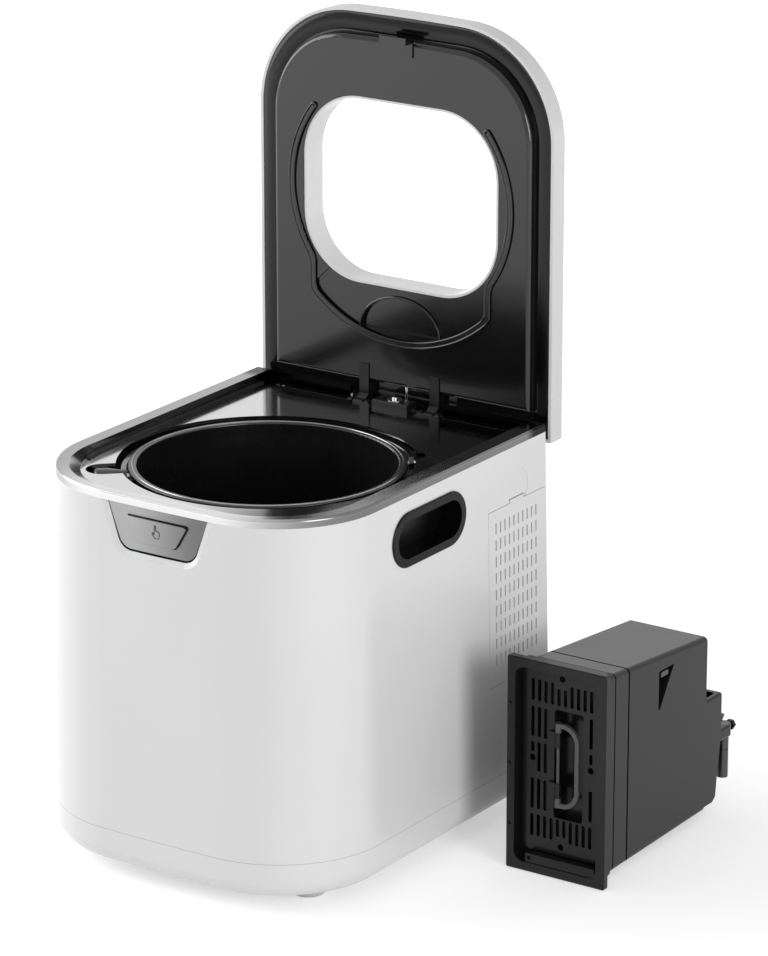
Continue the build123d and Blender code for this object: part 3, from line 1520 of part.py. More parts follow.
with BuildPart() as filter_case:
    add(tapered_box(0, box_front, box_rear))
    add(tapered_box(box_wall, box_front, box_rear - box_wall), mode=Mode.SUBTRACT)
    # two grooves round the box near its front
    for groove_front, groove_width in groove_places:
        add(groove_ring(groove_front, groove_width), mode=Mode.SUBTRACT)
    # three-cornered latch recess in the right side
    with BuildSketch(Plane.YZ.offset(filter_x + box_half - box_wall)):
        with BuildLine():
            Polyline((118.0, 153.0), (147.0, 153.0), (128.0, 118.0), (118.0, 118.0), close=True)
        make_face()
    extrude(amount=-8)
    with BuildSketch(Plane.YZ.offset(filter_x + box_half)):
        with BuildLine():
            Polyline((120.0, 151.0), (143.0, 151.0), (122.5, 119.0), (120.0, 119.0), close=True)
        make_face()
    extrude(amount=-8, taper=12, mode=Mode.SUBTRACT)
keep(filter_case.part, "filter_case")

with BuildPart() as latch_pin:
    with BuildSketch(Plane.YZ.offset(filter_x + box_half - 8.0)):
        with Locations((129.5, 146.8)):
            RectangleRounded(11.0, 4.2, 1.2)
    extrude(amount=7.4)
keep(latch_pin.part, "latch_pin")

with BuildPart() as carbon_block:
    add(tapered_box(box_wall + 9.0, box_front + 4, box_rear - 8))
keep(carbon_block.part, "carbon_block")

duct_half = 34.3
duct_rear = 225.0
with BuildPart() as filter_rear_duct:
    with BuildSketch(Plane.YZ.offset(filter_x)):
        with BuildLine():
            Polyline(
                (box_rear, 8.0),
                (212.0, 8.0),
                (218.0, 13.0),
                (220.0, 30.0),
                (duct_rear, 62.0),
                (duct_rear, 100.0),
                (box_rear, 100.0),
                close=True,
            )
        make_face()
    extrude(amount=duct_half, both=True)
    fillet(filter_rear_duct.edges().filter_by(Axis.Y), radius=2.0)
    with BuildSketch(Plane.XY.offset(100.0)):
        with Locations((filter_x, (box_rear + duct_rear) / 2)):
            RectangleRounded(2 * duct_half - 8, duct_rear - box_rear - 8, 3)
    extrude(amount=-4, mode=Mode.SUBTRACT)
keep(filter_rear_duct.part, "filter_rear_duct")

valve_x = 262.0
valve_y = 246.0
tube_radius = 4.7
with BuildPart() as valve_block:
    with BuildSketch(Plane.XZ.offset(-duct_rear)):
        with Locations((valve_x, 60.0)):
            RectangleRounded(14, 10, 2)
    extrude(amount=duct_rear - valve_y + 1)
    with BuildSketch(Plane.XY.offset(55.0)):
        with Locations((valve_x, valve_y)):
            Circle(tube_radius + 1.5)
            Circle(tube_radius, mode=Mode.SUBTRACT)
    extrude(amount=10)
    with BuildSketch(Plane.XY.offset(50.0)):
        with Locations((valve_x, valve_y)):
            Circle(tube_radius)
    extrude(amount=20, mode=Mode.SUBTRACT)
keep(valve_block.part, "valve_block")

with BuildPart() as valve_tube:
    with BuildSketch(Plane.XY.offset(19.0)):
        with Locations((valve_x, valve_y)):
            Circle(tube_radius)
    extrude(amount=24)
    with BuildSketch(Plane.XY.offset(43.0)):
        with Locations((valve_x, valve_y)):
            Circle(tube_radius - 0.6)
    extrude(amount=1.0)
    with BuildSketch(Plane.XY.offset(44.0)):
        with Locations((valve_x, valve_y)):
            Circle(tube_radius)
    extrude(amount=21)
    with BuildSketch(Plane.XY.offset(19.0)):
        with Locations((valve_x, valve_y)):
            Circle(tube_radius - 1.2)
    extrude(amount=30, mode=Mode.SUBTRACT)
keep(valve_tube.part, "valve_tube")

with BuildPart() as valve_knob:
    with BuildSketch(Plane.XY.offset(65.0)):
        with Locations((valve_x, valve_y - 9.0)):
            Circle(2.0)
    extrude(amount=3)
    with BuildSketch(Plane.XY.offset(68.0)):
        with Locations((valve_x, valve_y - 9.0)):
            Circle(2.5)
    extrude(amount=7, taper=-22)
keep(valve_knob.part, "valve_knob")

with BuildPart() as valve_screw:
    with BuildSketch(Plane.XZ.offset(-valve_y - tube_radius - 1.5)):
        with Locations((valve_x, 60.0)):
            Circle(1.8)
    extrude(amount=-4)
    with BuildSketch(Plane.XZ.offset(-valve_y - tube_radius - 5.5)):
        with Locations((valve_x, 60.0)):
            RegularPolygon(4.6, 6)
    extrude(amount=-3)
keep(valve_screw.part, "valve_screw")
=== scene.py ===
import math
import bpy
from mathutils import Matrix, Vector


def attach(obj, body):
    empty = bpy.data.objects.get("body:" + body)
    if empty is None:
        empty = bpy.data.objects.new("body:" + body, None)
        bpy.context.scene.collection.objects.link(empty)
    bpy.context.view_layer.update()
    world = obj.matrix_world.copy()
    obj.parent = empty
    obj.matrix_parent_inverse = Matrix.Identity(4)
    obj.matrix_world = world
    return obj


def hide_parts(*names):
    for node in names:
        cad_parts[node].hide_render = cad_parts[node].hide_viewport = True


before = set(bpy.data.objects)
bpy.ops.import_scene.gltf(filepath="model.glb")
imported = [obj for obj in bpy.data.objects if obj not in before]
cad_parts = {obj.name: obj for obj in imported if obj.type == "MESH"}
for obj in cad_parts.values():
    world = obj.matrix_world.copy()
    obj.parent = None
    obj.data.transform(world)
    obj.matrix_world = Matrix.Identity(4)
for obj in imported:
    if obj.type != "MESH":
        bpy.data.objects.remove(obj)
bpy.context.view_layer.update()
print("frame loaded:", len(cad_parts), "nodes")


def newGroup(name, inputs, outputs):
    group = bpy.data.node_groups.new(name, "ShaderNodeTree")
    for label, kind, value in inputs:
        socket = group.interface.new_socket(name=label, in_out="INPUT", socket_type=kind)
        if value is not None:
            socket.default_value = value
    for label, kind in outputs:
        group.interface.new_socket(name=label, in_out="OUTPUT", socket_type=kind)
    return group, group.nodes.new("NodeGroupInput"), group.nodes.new("NodeGroupOutput")


def addNode(tree, kind, settings=None, **values):
    node = tree.nodes.new(kind)
    for key, value in (settings or {}).items():
        setattr(node, key, value)
    for key, value in values.items():
        node.inputs[key.replace("_", " ")].default_value = value
    return node


def join(tree, *pairs):
    for start, end in pairs:
        tree.links.new(start, end)


def makeFineGrain():
    # moulded or sprayed surface: two noises, one for the grain and one for slow waves
    group, entry, out = newGroup(
        "fineGrain",
        [("Scale", "NodeSocketFloat", 900.0), ("Grain", "NodeSocketFloat", 1.0),
         ("Wave", "NodeSocketFloat", 0.3)],
        [("Height", "NodeSocketFloat"), ("Mask", "NodeSocketFloat")])
    place = addNode(group, "ShaderNodeTexCoord")
    grain = addNode(group, "ShaderNodeTexNoise", Detail=3.0, Roughness=0.55)
    wave = addNode(group, "ShaderNodeTexNoise", Scale=9.0, Detail=2.0)
    grainShare = addNode(group, "ShaderNodeMath", {"operation": "MULTIPLY"})
    waveShare = addNode(group, "ShaderNodeMath", {"operation": "MULTIPLY"})
    total = addNode(group, "ShaderNodeMath", {"operation": "ADD"})
    join(group,
         (place.outputs["Object"], grain.inputs["Vector"]),
         (place.outputs["Object"], wave.inputs["Vector"]),
         (entry.outputs["Scale"], grain.inputs["Scale"]),
         (grain.outputs["Fac"], grainShare.inputs[0]), (entry.outputs["Grain"], grainShare.inputs[1]),
         (wave.outputs["Fac"], waveShare.inputs[0]), (entry.outputs["Wave"], waveShare.inputs[1]),
         (grainShare.outputs[0], total.inputs[0]), (waveShare.outputs[0], total.inputs[1]),
         (total.outputs[0], out.inputs["Height"]), (wave.outputs["Fac"], out.inputs["Mask"]))
    return group


def makeBrushLines():
    # long thin scratches along one axis, set by the stretch
    group, entry, out = newGroup(
        "brushLines",
        [("Stretch", "NodeSocketVector", (8.0, 900.0, 900.0)), ("Strength", "NodeSocketFloat", 1.0)],
        [("Height", "NodeSocketFloat"), ("Mask", "NodeSocketFloat")])
    place = addNode(group, "ShaderNodeTexCoord")
    stretch = addNode(group, "ShaderNodeVectorMath", {"operation": "MULTIPLY"})
    lines = addNode(group, "ShaderNodeTexNoise", Scale=1.0, Detail=4.0, Roughness=0.6)
    share = addNode(group, "ShaderNodeMath", {"operation": "MULTIPLY"})
    join(group,
         (place.outputs["Object"], stretch.inputs[0]), (entry.outputs["Stretch"], stretch.inputs[1]),
         (stretch.outputs[0], lines.inputs["Vector"]),
         (lines.outputs["Fac"], share.inputs[0]), (entry.outputs["Strength"], share.inputs[1]),
         (share.outputs[0], out.inputs["Height"]), (lines.outputs["Fac"], out.inputs["Mask"]))
    return group


def makeHandling():
    # faint smudges and dust: a mask between two values, used for roughness or colour
    group, entry, out = newGroup(
        "handling",
        [("Scale", "NodeSocketFloat", 14.0), ("Low", "NodeSocketFloat", 0.3), ("High", "NodeSocketFloat", 0.4)],
        [("Value", "NodeSocketFloat"), ("Mask", "NodeSocketFloat")])
    place = addNode(group, "ShaderNodeTexCoord")
    smudge = addNode(group, "ShaderNodeTexNoise", Detail=5.0, Roughness=0.65, Distortion=0.4)
    spread = addNode(group, "ShaderNodeMapRange", From_Min=0.3, From_Max=0.7)
    join(group,
         (place.outputs["Object"], smudge.inputs["Vector"]), (entry.outputs["Scale"], smudge.inputs["Scale"]),
         (smudge.outputs["Fac"], spread.inputs["Value"]),
         (entry.outputs["Low"], spread.inputs["To Min"]), (entry.outputs["High"], spread.inputs["To Max"]),
         (spread.outputs["Result"], out.inputs["Value"]), (smudge.outputs["Fac"], out.inputs["Mask"]))
    return group


def makePaintedShadeSweep():
    # a mask that rises from start to end along a direction, for painted shade and painted reflection that
    # change over a piece
    group, entry, out = newGroup(
        "paintedShadeSweep",
        [("Axis", "NodeSocketVector", (1.0, 0.0, 0.0)), ("Start", "NodeSocketFloat", 0.0),
         ("End", "NodeSocketFloat", 0.1)],
        [("Mask", "NodeSocketFloat")])
    place = addNode(group, "ShaderNodeTexCoord")
    reach = addNode(group, "ShaderNodeVectorMath", {"operation": "DOT_PRODUCT"})
    spread = addNode(group, "ShaderNodeMapRange", {"interpolation_type": "SMOOTHSTEP"})
    join(group,
         (place.outputs["Object"], reach.inputs[0]), (entry.outputs["Axis"], reach.inputs[1]),
         (reach.outputs["Value"], spread.inputs["Value"]), (entry.outputs["Start"], spread.inputs["From Min"]),
         (entry.outputs["End"], spread.inputs["From Max"]), (spread.outputs["Result"], out.inputs["Mask"]))
    return group


def makeSeamShade():
    # a thin shadow line at one height, where two mouldings meet
    group, entry, out = newGroup(
        "seamShade",
        [("Height", "NodeSocketFloat", 0.043), ("Width", "NodeSocketFloat", 0.0004)],
        [("Mask", "NodeSocketFloat")])
    place = addNode(group, "ShaderNodeTexCoord")
    parts = addNode(group, "ShaderNodeSeparateXYZ")
    away = addNode(group, "ShaderNodeMath", {"operation": "SUBTRACT"})
    size = addNode(group, "ShaderNodeMath", {"operation": "ABSOLUTE"})
    spread = addNode(group, "ShaderNodeMapRange", To_Min=1.0, To_Max=0.0)
    join(group,
         (place.outputs["Object"], parts.inputs[0]), (parts.outputs["Z"], away.inputs[0]),
         (entry.outputs["Height"], away.inputs[1]), (away.outputs[0], size.inputs[0]),
         (size.outputs[0], spread.inputs["Value"]), (entry.outputs["Width"], spread.inputs["From Max"]),
         (spread.outputs["Result"], out.inputs["Mask"]))
    return group


effects = {"fineGrain": makeFineGrain(), "brushLines": makeBrushLines(), "handling": makeHandling(),
           "paintedShadeSweep": makePaintedShadeSweep(), "seamShade": makeSeamShade()}


def useEffect(tree, name, **values):
    node = tree.nodes.new("ShaderNodeGroup")
    node.node_tree = effects[name]
    for key, value in values.items():
        node.inputs[key].default_value = value
    return node


def startMaterial(name, color, **sockets):
    material = bpy.data.materials.new(name)
    material.use_nodes = True
    shader = material.node_tree.nodes["Principled BSDF"]
    shader.inputs["Base Color"].default_value = (*color, 1.0)
    for key, value in sockets.items():
        shader.inputs[key.replace("_", " ")].default_value = value
    return material, material.node_tree, shader


def addBump(tree, shader, source, depth, distance=0.0002):
    bump = addNode(tree, "ShaderNodeBump", Strength=depth, Distance=distance)
    join(tree,
         (source.outputs["Height"], bump.inputs["Height"]), (bump.outputs["Normal"], shader.inputs["Normal"]))


def colorMix(tree, colorB):
    blend = tree.nodes.new("ShaderNodeMix")
    blend.data_type = "RGBA"
    blend.inputs["B"].default_value = (*colorB, 1.0)
    return blend


def blendOver(material, source, color):
    # mixes another colour over what already feeds the base colour, where the mask is high
    tree = material.node_tree
    base = tree.nodes["Principled BSDF"].inputs["Base Color"]
    blend = colorMix(tree, color)
    join(tree,
         (source.outputs["Mask"], blend.inputs["Factor"]), (base.links[0].from_socket, blend.inputs["A"]),
         (blend.outputs["Result"], base))


def seenDirectly(tree):
    # one for what the camera, a mirror or a pane shows, and zero for the light on the object
    path = tree.nodes.new("ShaderNodeLightPath")
    either = addNode(tree, "ShaderNodeMath", {"operation": "MAXIMUM"})
    anyOfThem = addNode(tree, "ShaderNodeMath", {"operation": "MAXIMUM"})
    join(tree,
         (path.outputs["Is Camera Ray"], either.inputs[0]), (path.outputs["Is Glossy Ray"], either.inputs[1]),
         (either.outputs[0], anyOfThem.inputs[0]), (path.outputs["Is Transmission Ray"], anyOfThem.inputs[1]))
    return anyOfThem.outputs[0]


def tintByMask(tree, shader, source, colorA, colorB, low=0.35, high=0.65):
    spread = addNode(tree, "ShaderNodeMapRange", From_Min=low, From_Max=high)
    blend = colorMix(tree, colorB)
    blend.inputs["A"].default_value = (*colorA, 1.0)
    join(tree,
         (source.outputs["Mask"], spread.inputs["Value"]), (spread.outputs["Result"], blend.inputs["Factor"]),
         (blend.outputs["Result"], shader.inputs["Base Color"]))


def mouldedPlastic(name, color, rough, grain=0.15, scale=900.0, coat=0.0, spread=0.05, tint=0.02, shine=0.5,
                   wave=0.25, relief=0.25, touchScale=16.0, coatRough=0.08):
    material, tree, shader = startMaterial(name, color, Roughness=rough, Coat_Weight=coat,
                                           Coat_Roughness=coatRough, Specular_IOR_Level=shine)
    surface = useEffect(tree, "fineGrain", Scale=scale, Grain=grain, Wave=wave)
    touch = useEffect(tree, "handling", Scale=touchScale, Low=rough - spread / 2, High=rough + spread / 2)
    addBump(tree, shader, surface, relief)
    join(tree, (touch.outputs["Value"], shader.inputs["Roughness"]))
    tintByMask(tree, shader, surface, color, [min(1.0, part * (1 + tint)) for part in color])
    return material


def brushedMetal(name, color, rough, stretch, depth=0.2, spread=0.1, dark=0.85, touchScale=20.0):
    material, tree, shader = startMaterial(name, color, Metallic=1.0, Roughness=rough)
    lines = useEffect(tree, "brushLines", Stretch=stretch, Strength=1.0)
    touch = useEffect(tree, "handling", Scale=touchScale, Low=rough - spread / 2, High=rough + spread / 2)
    addBump(tree, shader, lines, depth)
    join(tree, (touch.outputs["Value"], shader.inputs["Roughness"]))
    tintByMask(tree, shader, lines, [part * dark for part in color], color)
    return material


def castMetal(name, color, rough, grain, scale, depth=0.5, dark=0.88, wave=0.4, share=0.15, touchScale=25.0):
    material, tree, shader = startMaterial(name, color, Metallic=1.0, Roughness=rough)
    surface = useEffect(tree, "fineGrain", Scale=scale, Grain=grain, Wave=wave)
    touch = useEffect(tree, "handling", Scale=touchScale, Low=rough * (1 - share), High=rough * (1 + share))
    addBump(tree, shader, surface, depth)
    join(tree, (touch.outputs["Value"], shader.inputs["Roughness"]))
    tintByMask(tree, shader, surface, [part * dark for part in color], color)
    return material


def coatedMetal(name, color, rough, fleckScale=420.0, fleckLift=3.0, spread=0.1, touchScale=18.0):
    # dark cooking coat: sparse lighter flecks in a black ground
    material, tree, shader = startMaterial(name, color, Roughness=rough, Metallic=0.2, Coat_Weight=0.3,
                                           Coat_Roughness=0.2)
    place = addNode(tree, "ShaderNodeTexCoord")
    flecks = addNode(tree, "ShaderNodeTexVoronoi", Scale=fleckScale)
    edge = addNode(tree, "ShaderNodeMapRange", From_Min=0.06, From_Max=0.14, To_Min=1.0, To_Max=0.0)
    blend = colorMix(tree, [min(1.0, part * fleckLift) for part in color])
    blend.inputs["A"].default_value = (*color, 1.0)
    surface = useEffect(tree, "fineGrain", Scale=700.0, Grain=0.4, Wave=0.2)
    touch = useEffect(tree, "handling", Scale=touchScale, Low=rough - spread / 2, High=rough + spread / 2)
    addBump(tree, shader, surface, 0.3)
    join(tree,
         (place.outputs["Object"], flecks.inputs["Vector"]), (flecks.outputs["Distance"], edge.inputs["Value"]),
         (edge.outputs["Result"], blend.inputs["Factor"]),
         (blend.outputs["Result"], shader.inputs["Base Color"]),
         (touch.outputs["Value"], shader.inputs["Roughness"]))
    return material


def clearPane(name):
    material, tree, shader = startMaterial(name, (1.0, 1.0, 1.0), Roughness=0.02, Transmission_Weight=1.0,
                                           IOR=1.1)
    surface = useEffect(tree, "handling", Scale=10.0, Low=0.01, High=0.04)
    join(tree, (surface.outputs["Value"], shader.inputs["Roughness"]))
    return material


def fibrePad(name, color, cellScale=260.0, cellDepth=0.8, lift=2.2):
    material, tree, shader = startMaterial(name, color, Roughness=0.85)
    place = addNode(tree, "ShaderNodeTexCoord")
    cells = addNode(tree, "ShaderNodeTexVoronoi", Scale=cellScale)
    bump = addNode(tree, "ShaderNodeBump", Strength=cellDepth, Distance=0.001)
    surface = useEffect(tree, "fineGrain", Scale=500.0, Grain=1.0, Wave=0.2)
    tintByMask(tree, shader, surface, color, [part * lift for part in color])
    join(tree,
         (place.outputs["Object"], cells.inputs["Vector"]), (cells.outputs["Distance"], bump.inputs["Height"]),
         (bump.outputs["Normal"], shader.inputs["Normal"]))
    return material


finishes = {
    "shellWhite": mouldedPlastic("shellWhite", (0.80, 0.80, 0.80), 0.32, grain=0.04, scale=1400.0, coat=0.2,
                                 spread=0.03),
    # painted shade: the lid's white plastic, the same as the shell's, given a darker colour
    "lidWhitePaintedShade": mouldedPlastic("lidWhitePaintedShade", (0.70, 0.70, 0.70), 0.28, grain=0.03, scale=1400.0, coat=0.25,
                               spread=0.02),
    "footRubber": mouldedPlastic("footRubber", (0.60, 0.60, 0.60), 0.5, grain=0.5, scale=700.0),
    "plainSteel": brushedMetal("plainSteel", (0.66, 0.66, 0.67), 0.24, (30.0, 900.0, 900.0), depth=0.05),
    "capSteel": brushedMetal("capSteel", (0.55, 0.55, 0.56), 0.2, (30.0, 900.0, 900.0), depth=0.04),
    "panelSilver": brushedMetal("panelSilver", (0.36, 0.36, 0.363), 0.34, (4.0, 1500.0, 1500.0), depth=0.015,
                                dark=0.95),
    "satinBlack": mouldedPlastic("satinBlack", (0.005, 0.005, 0.0055), 0.34, grain=0.2, scale=1100.0,
                                 shine=0.35),
    "gripBlack": mouldedPlastic("gripBlack", (0.003, 0.003, 0.0032), 0.30, grain=0.1, scale=1100.0, shine=0.15),
    "rimSilver": castMetal("rimSilver", (0.72, 0.72, 0.725), 0.18, 0.10, 2200.0, depth=0.03, dark=0.97),
    "deckSilver": castMetal("deckSilver", (0.66, 0.66, 0.665), 0.11, 0.08, 2200.0, depth=0.02, dark=0.97),
    "sealRubber": mouldedPlastic("sealRubber", (0.008, 0.008, 0.008), 0.5, grain=0.5, scale=600.0),
    "linerSteel": brushedMetal("linerSteel", (0.16, 0.16, 0.165), 0.35, (900.0, 900.0, 10.0), depth=0.06),
    "heaterMica": mouldedPlastic("heaterMica", (0.42, 0.33, 0.20), 0.7, grain=0.8, scale=300.0, tint=0.25),
    "motorPaint": castMetal("motorPaint", (0.20, 0.20, 0.22), 0.45, 0.3, 500.0),
    "castAlloy": castMetal("castAlloy", (0.45, 0.45, 0.47), 0.5, 0.9, 350.0),
    "potCoat": coatedMetal("potCoat", (0.008, 0.008, 0.0085), 0.26),
    "bearingBrass": castMetal("bearingBrass", (0.70, 0.52, 0.25), 0.3, 0.3, 600.0),
    "handleBlack": mouldedPlastic("handleBlack", (0.006, 0.006, 0.0065), 0.12, grain=0.03, coat=0.5),
    "rodSteel": castMetal("rodSteel", (0.34, 0.34, 0.345), 0.22, 0.1, 900.0, depth=0.05),
    "pinSteel": castMetal("pinSteel", (0.10, 0.10, 0.102), 0.30, 0.1, 900.0, depth=0.05),
    "lipSteel": castMetal("lipSteel", (0.38, 0.38, 0.385), 0.20, 0.1, 900.0, depth=0.03),
    "bayGrey": mouldedPlastic("bayGrey", (0.12, 0.12, 0.122), 0.4, grain=0.2, scale=1100.0),
    "armCoat": coatedMetal("armCoat", (0.02, 0.02, 0.021), 0.3),
    "boardGreen": mouldedPlastic("boardGreen", (0.02, 0.13, 0.05), 0.4, grain=0.5, scale=400.0, tint=0.3),
    "lidBlack": mouldedPlastic("lidBlack", (0.006, 0.006, 0.0065), 0.15, grain=0.03, scale=1200.0, coat=0.12),
    "borderBlack": mouldedPlastic("borderBlack", (0.003, 0.003, 0.0032), 0.16, grain=0.02, shine=0.3),
    "bezelGrey": mouldedPlastic("bezelGrey", (0.70, 0.70, 0.705), 0.18, grain=0.03, coat=0.4),
    "paneClear": clearPane("paneClear"),
    "ribBlack": mouldedPlastic("ribBlack", (0.006, 0.006, 0.0065), 0.22, grain=0.1, scale=1200.0, coat=0.2),
    "filterBlack": mouldedPlastic("filterBlack", (0.006, 0.006, 0.0065), 0.23, grain=0.15, scale=1300.0,
                                  shine=0.30),
    "handleGrey": mouldedPlastic("handleGrey", (0.07, 0.07, 0.073), 0.26, grain=0.1, scale=1200.0),
    "carbonPad": fibrePad("carbonPad", (0.02, 0.02, 0.02)),
    "markInk": mouldedPlastic("markInk", (0.015, 0.015, 0.015), 0.4, grain=0.2, scale=1200.0),
}

# painted shade and painted reflection: finishes painted darker along a direction; the later lines lie over the
# earlier ones
paintedShadeSweeps = [
    # painted shade: the button panel and the open button darker towards the right
    {"finish": "panelSilver", "color": (0.15, 0.15, 0.152), "axis": (1, 0, 0), "from": -0.030, "to": 0.045},
    # painted shade: the rim darker towards the right; painted reflection: the rim darker towards the left
    {"finish": "rimSilver", "color": (0.19, 0.19, 0.192), "axis": (1, 0, 0), "from": 0.055, "to": 0.130},
    {"finish": "rimSilver", "color": (0.34, 0.34, 0.343), "axis": (-1, 0, 0), "from": 0.055, "to": 0.125},
    # painted reflection of the black lid: the rim near black at the rear
    {"finish": "rimSilver", "color": (0.006, 0.006, 0.006), "axis": (0, 1, 0), "from": 0.135, "to": 0.150},
    # painted reflection of the black lid: the deck darker towards the right
    {"finish": "deckSilver", "color": (0.06, 0.06, 0.061), "axis": (1, 0, 0), "from": 0.000, "to": 0.090},
]
baseSeam = {"finish": "shellWhite", "color": (0.42, 0.42, 0.42), "height": 0.043, "width": 0.0004}
for sweep in paintedShadeSweeps:
    material = finishes[sweep["finish"]]
    blendOver(material, useEffect(material.node_tree, "paintedShadeSweep", Axis=sweep["axis"], Start=sweep["from"],
                                  End=sweep["to"]), sweep["color"])
seamed = finishes[baseSeam["finish"]]
blendOver(seamed, useEffect(seamed.node_tree, "seamShade", Height=baseSeam["height"], Width=baseSeam["width"]),
          baseSeam["color"])

nodeFinishes = {
    "shellWhite": ["base_tray", "outer_shell", "vent_cover"],
    "lidWhitePaintedShade": ["lid_outer_shell"],
    "footRubber": ["feet"],
    "plainSteel": ["base_screws", "drive_coupler", "bucket_ears", "switch_disc", "switch_plunger"],
    "capSteel": ["rod_caps"],
    "panelSilver": ["button_panel", "open_button"],
    "satinBlack": ["well_skirt", "hinge_bracket", "switch_block", "latch_rocker", "latch_guide",
                   "board_posts", "exhaust_fan_frame", "exhaust_fan_rotor", "power_inlet", "lid_hinge_arms"],
    "gripBlack": ["right_hand_grip", "left_hand_grip"],
    "rimSilver": ["rim_band"],
    "deckSilver": ["deck_plate"],
    "sealRubber": ["rim_gasket"],
    "linerSteel": ["chamber_liner"],
    "heaterMica": ["heater_band"],
    "motorPaint": ["gear_motor"],
    "castAlloy": ["gearbox_case"],
    "potCoat": ["bucket_pot"],
    "bearingBrass": ["bucket_bearing", "inlet_pins"],
    "handleBlack": ["bucket_handle", "handle_lug"],
    "rodSteel": ["hinge_rod"],
    "pinSteel": ["latch_pin", "valve_tube"],
    "bayGrey": ["filter_bay"],
    "armCoat": ["agitator"],
    "boardGreen": ["control_board"],
    "lidBlack": ["lid_inner_panel", "lid_catch"],
    "bezelGrey": ["lid_window_bezel"],
    "paneClear": ["lid_window"],
    "ribBlack": ["lid_seal_rib"],
    "filterBlack": ["frame_screws", "filter_front_frame", "filter_grille", "handle_tabs", "filter_case",
                    "filter_rear_duct", "valve_block", "valve_knob", "valve_screw"],
    "handleGrey": ["filter_handle"],
    "carbonPad": ["carbon_block"],
}
for finish, names in nodeFinishes.items():
    for name in names:
        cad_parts[name].data.materials[0] = finishes[finish]
print("materials on", sum(map(len, nodeFinishes.values())), "nodes")

lidHinge = {"y": 0.159, "z": 0.306, "openTurn": -90.0}
smoothAngle = 35.0


def selectOnly(piece):
    bpy.ops.object.select_all(action="DESELECT")
    piece.select_set(True)
    bpy.context.view_layer.objects.active = piece


def finishPiece(piece, name, body, finish):
    piece.name = name
    piece.data.materials.clear()
    piece.data.materials.append(finishes[finish])
    selectOnly(piece)
    bpy.ops.object.shade_smooth_by_angle(angle=math.radians(smoothAngle))
    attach(piece, body)
    return piece


def applyPlace(piece):
    selectOnly(piece)
    bpy.ops.object.transform_apply(location=True, rotation=True, scale=True)


def swingOpen(piece):
    # from the closed lid's place to the open one
    pivot = Vector((0, lidHinge["y"], lidHinge["z"]))
    turn = Matrix.Rotation(math.radians(lidHinge["openTurn"]), 4, "X")
    piece.matrix_world = Matrix.Translation(pivot) @ turn @ Matrix.Translation(-pivot) @ piece.matrix_world
    applyPlace(piece)


def linkMesh(name, vertices, faces):
    mesh = bpy.data.meshes.new(name)
    mesh.from_pydata(vertices, [], faces)
    piece = bpy.data.objects.new(name, mesh)
    bpy.context.collection.objects.link(piece)
    return piece


def roundWire(points, radius, closed=False, sides=3):
    # a thin round bead along the points, turned into a mesh
    curve = bpy.data.curves.new("bead", "CURVE")
    curve.dimensions = "3D"
    curve.bevel_depth = radius
    curve.bevel_resolution = sides
    curve.use_fill_caps = True
    spline = curve.splines.new("POLY")
    spline.points.add(len(points) - 1)
    for spot, place in zip(spline.points, points):
        spot.co = (*place, 1.0)
    spline.use_cyclic_u = closed
    wire = bpy.data.objects.new("bead", curve)
    bpy.context.collection.objects.link(wire)
    selectOnly(wire)
    bpy.ops.object.convert(target="MESH")
    return bpy.context.object


def arcPoints(centre, radius, start, end, steps, height):
    turns = [start + (end - start) * step / steps for step in range(steps + 1)]
    return [(centre[0] + radius * math.cos(turn), centre[1] + radius * math.sin(turn), height)
            for turn in turns]


def joinPieces(pieces):
    bpy.ops.object.select_all(action="DESELECT")
    for piece in pieces:
        piece.select_set(True)
    bpy.context.view_layer.objects.active = pieces[0]
    bpy.ops.object.join()
    return bpy.context.object


# raised double seal round the window, drawn with the lid closed
sealRib = {
    "centre": (0.0, -0.018), "sideRadius": 0.1045, "lowRadius": 0.1220, "frontTurn": -37.7, "stepX": 0.0840,
    "bandHalf": 0.0021, "beadRadius": 0.0009, "beadHeight": 0.3121, "arcSteps": 36, "cornerReach": 0.0060,
    "cornerSteps": 8, "capSteps": 8, "floorDrop": 0.0001, "floorDepth": 0.0011,
}


def roundedCorner(first, tip, last, height):
    # a quadratic curve from the first point to the last one, bent towards the tip
    points = []
    for step in range(1, sealRib["cornerSteps"] + 1):
        share = step / sealRib["cornerSteps"]
        weights = ((1 - share) ** 2, 2 * share * (1 - share), share ** 2)
        points.append((sum(weight * spot[0] for weight, spot in zip(weights, (first, tip, last))),
                       sum(weight * spot[1] for weight, spot in zip(weights, (first, tip, last))), height))
    return points


def ribRun(offset):
    # one edge of the band: side arc, straight step towards the rear, low arc to the middle, and its mirror
    side, low = sealRib["sideRadius"] + offset, sealRib["lowRadius"] + offset
    stepX, reach = sealRib["stepX"] + offset, sealRib["cornerReach"]
    middle, height = sealRib["centre"], sealRib["beadHeight"]
    sideEnd, lowStart = math.acos(stepX / side), math.acos(stepX / low)
    sideTip = (stepX, middle[1] + side * math.sin(sideEnd))
    lowTip = (stepX, middle[1] + low * math.sin(lowStart))
    lowArc = arcPoints(middle, low, lowStart + reach / low, math.pi / 2, sealRib["arcSteps"], height)
    points = arcPoints(middle, side, math.radians(sealRib["frontTurn"]), sideEnd - reach / side,
                       sealRib["arcSteps"], height)
    points += roundedCorner(points[-1], sideTip, (stepX, sideTip[1] + reach), height)
    points += roundedCorner((stepX, lowTip[1] - reach), lowTip, lowArc[0], height) + lowArc[1:]
    return points + [(-x, y, z) for x, y, z in points[-2::-1]]


def ribCap(turn, sense):
    # rounded end of the band
    middle, side, half = sealRib["centre"], sealRib["sideRadius"], sealRib["bandHalf"]
    hub = (middle[0] + side * math.cos(turn), middle[1] + side * math.sin(turn))
    leans = [sense * math.pi * step / sealRib["capSteps"] for step in range(1, sealRib["capSteps"])]
    return [(hub[0] + half * math.cos(turn + lean), hub[1] + half * math.sin(turn + lean),
             sealRib["beadHeight"]) for lean in leans]


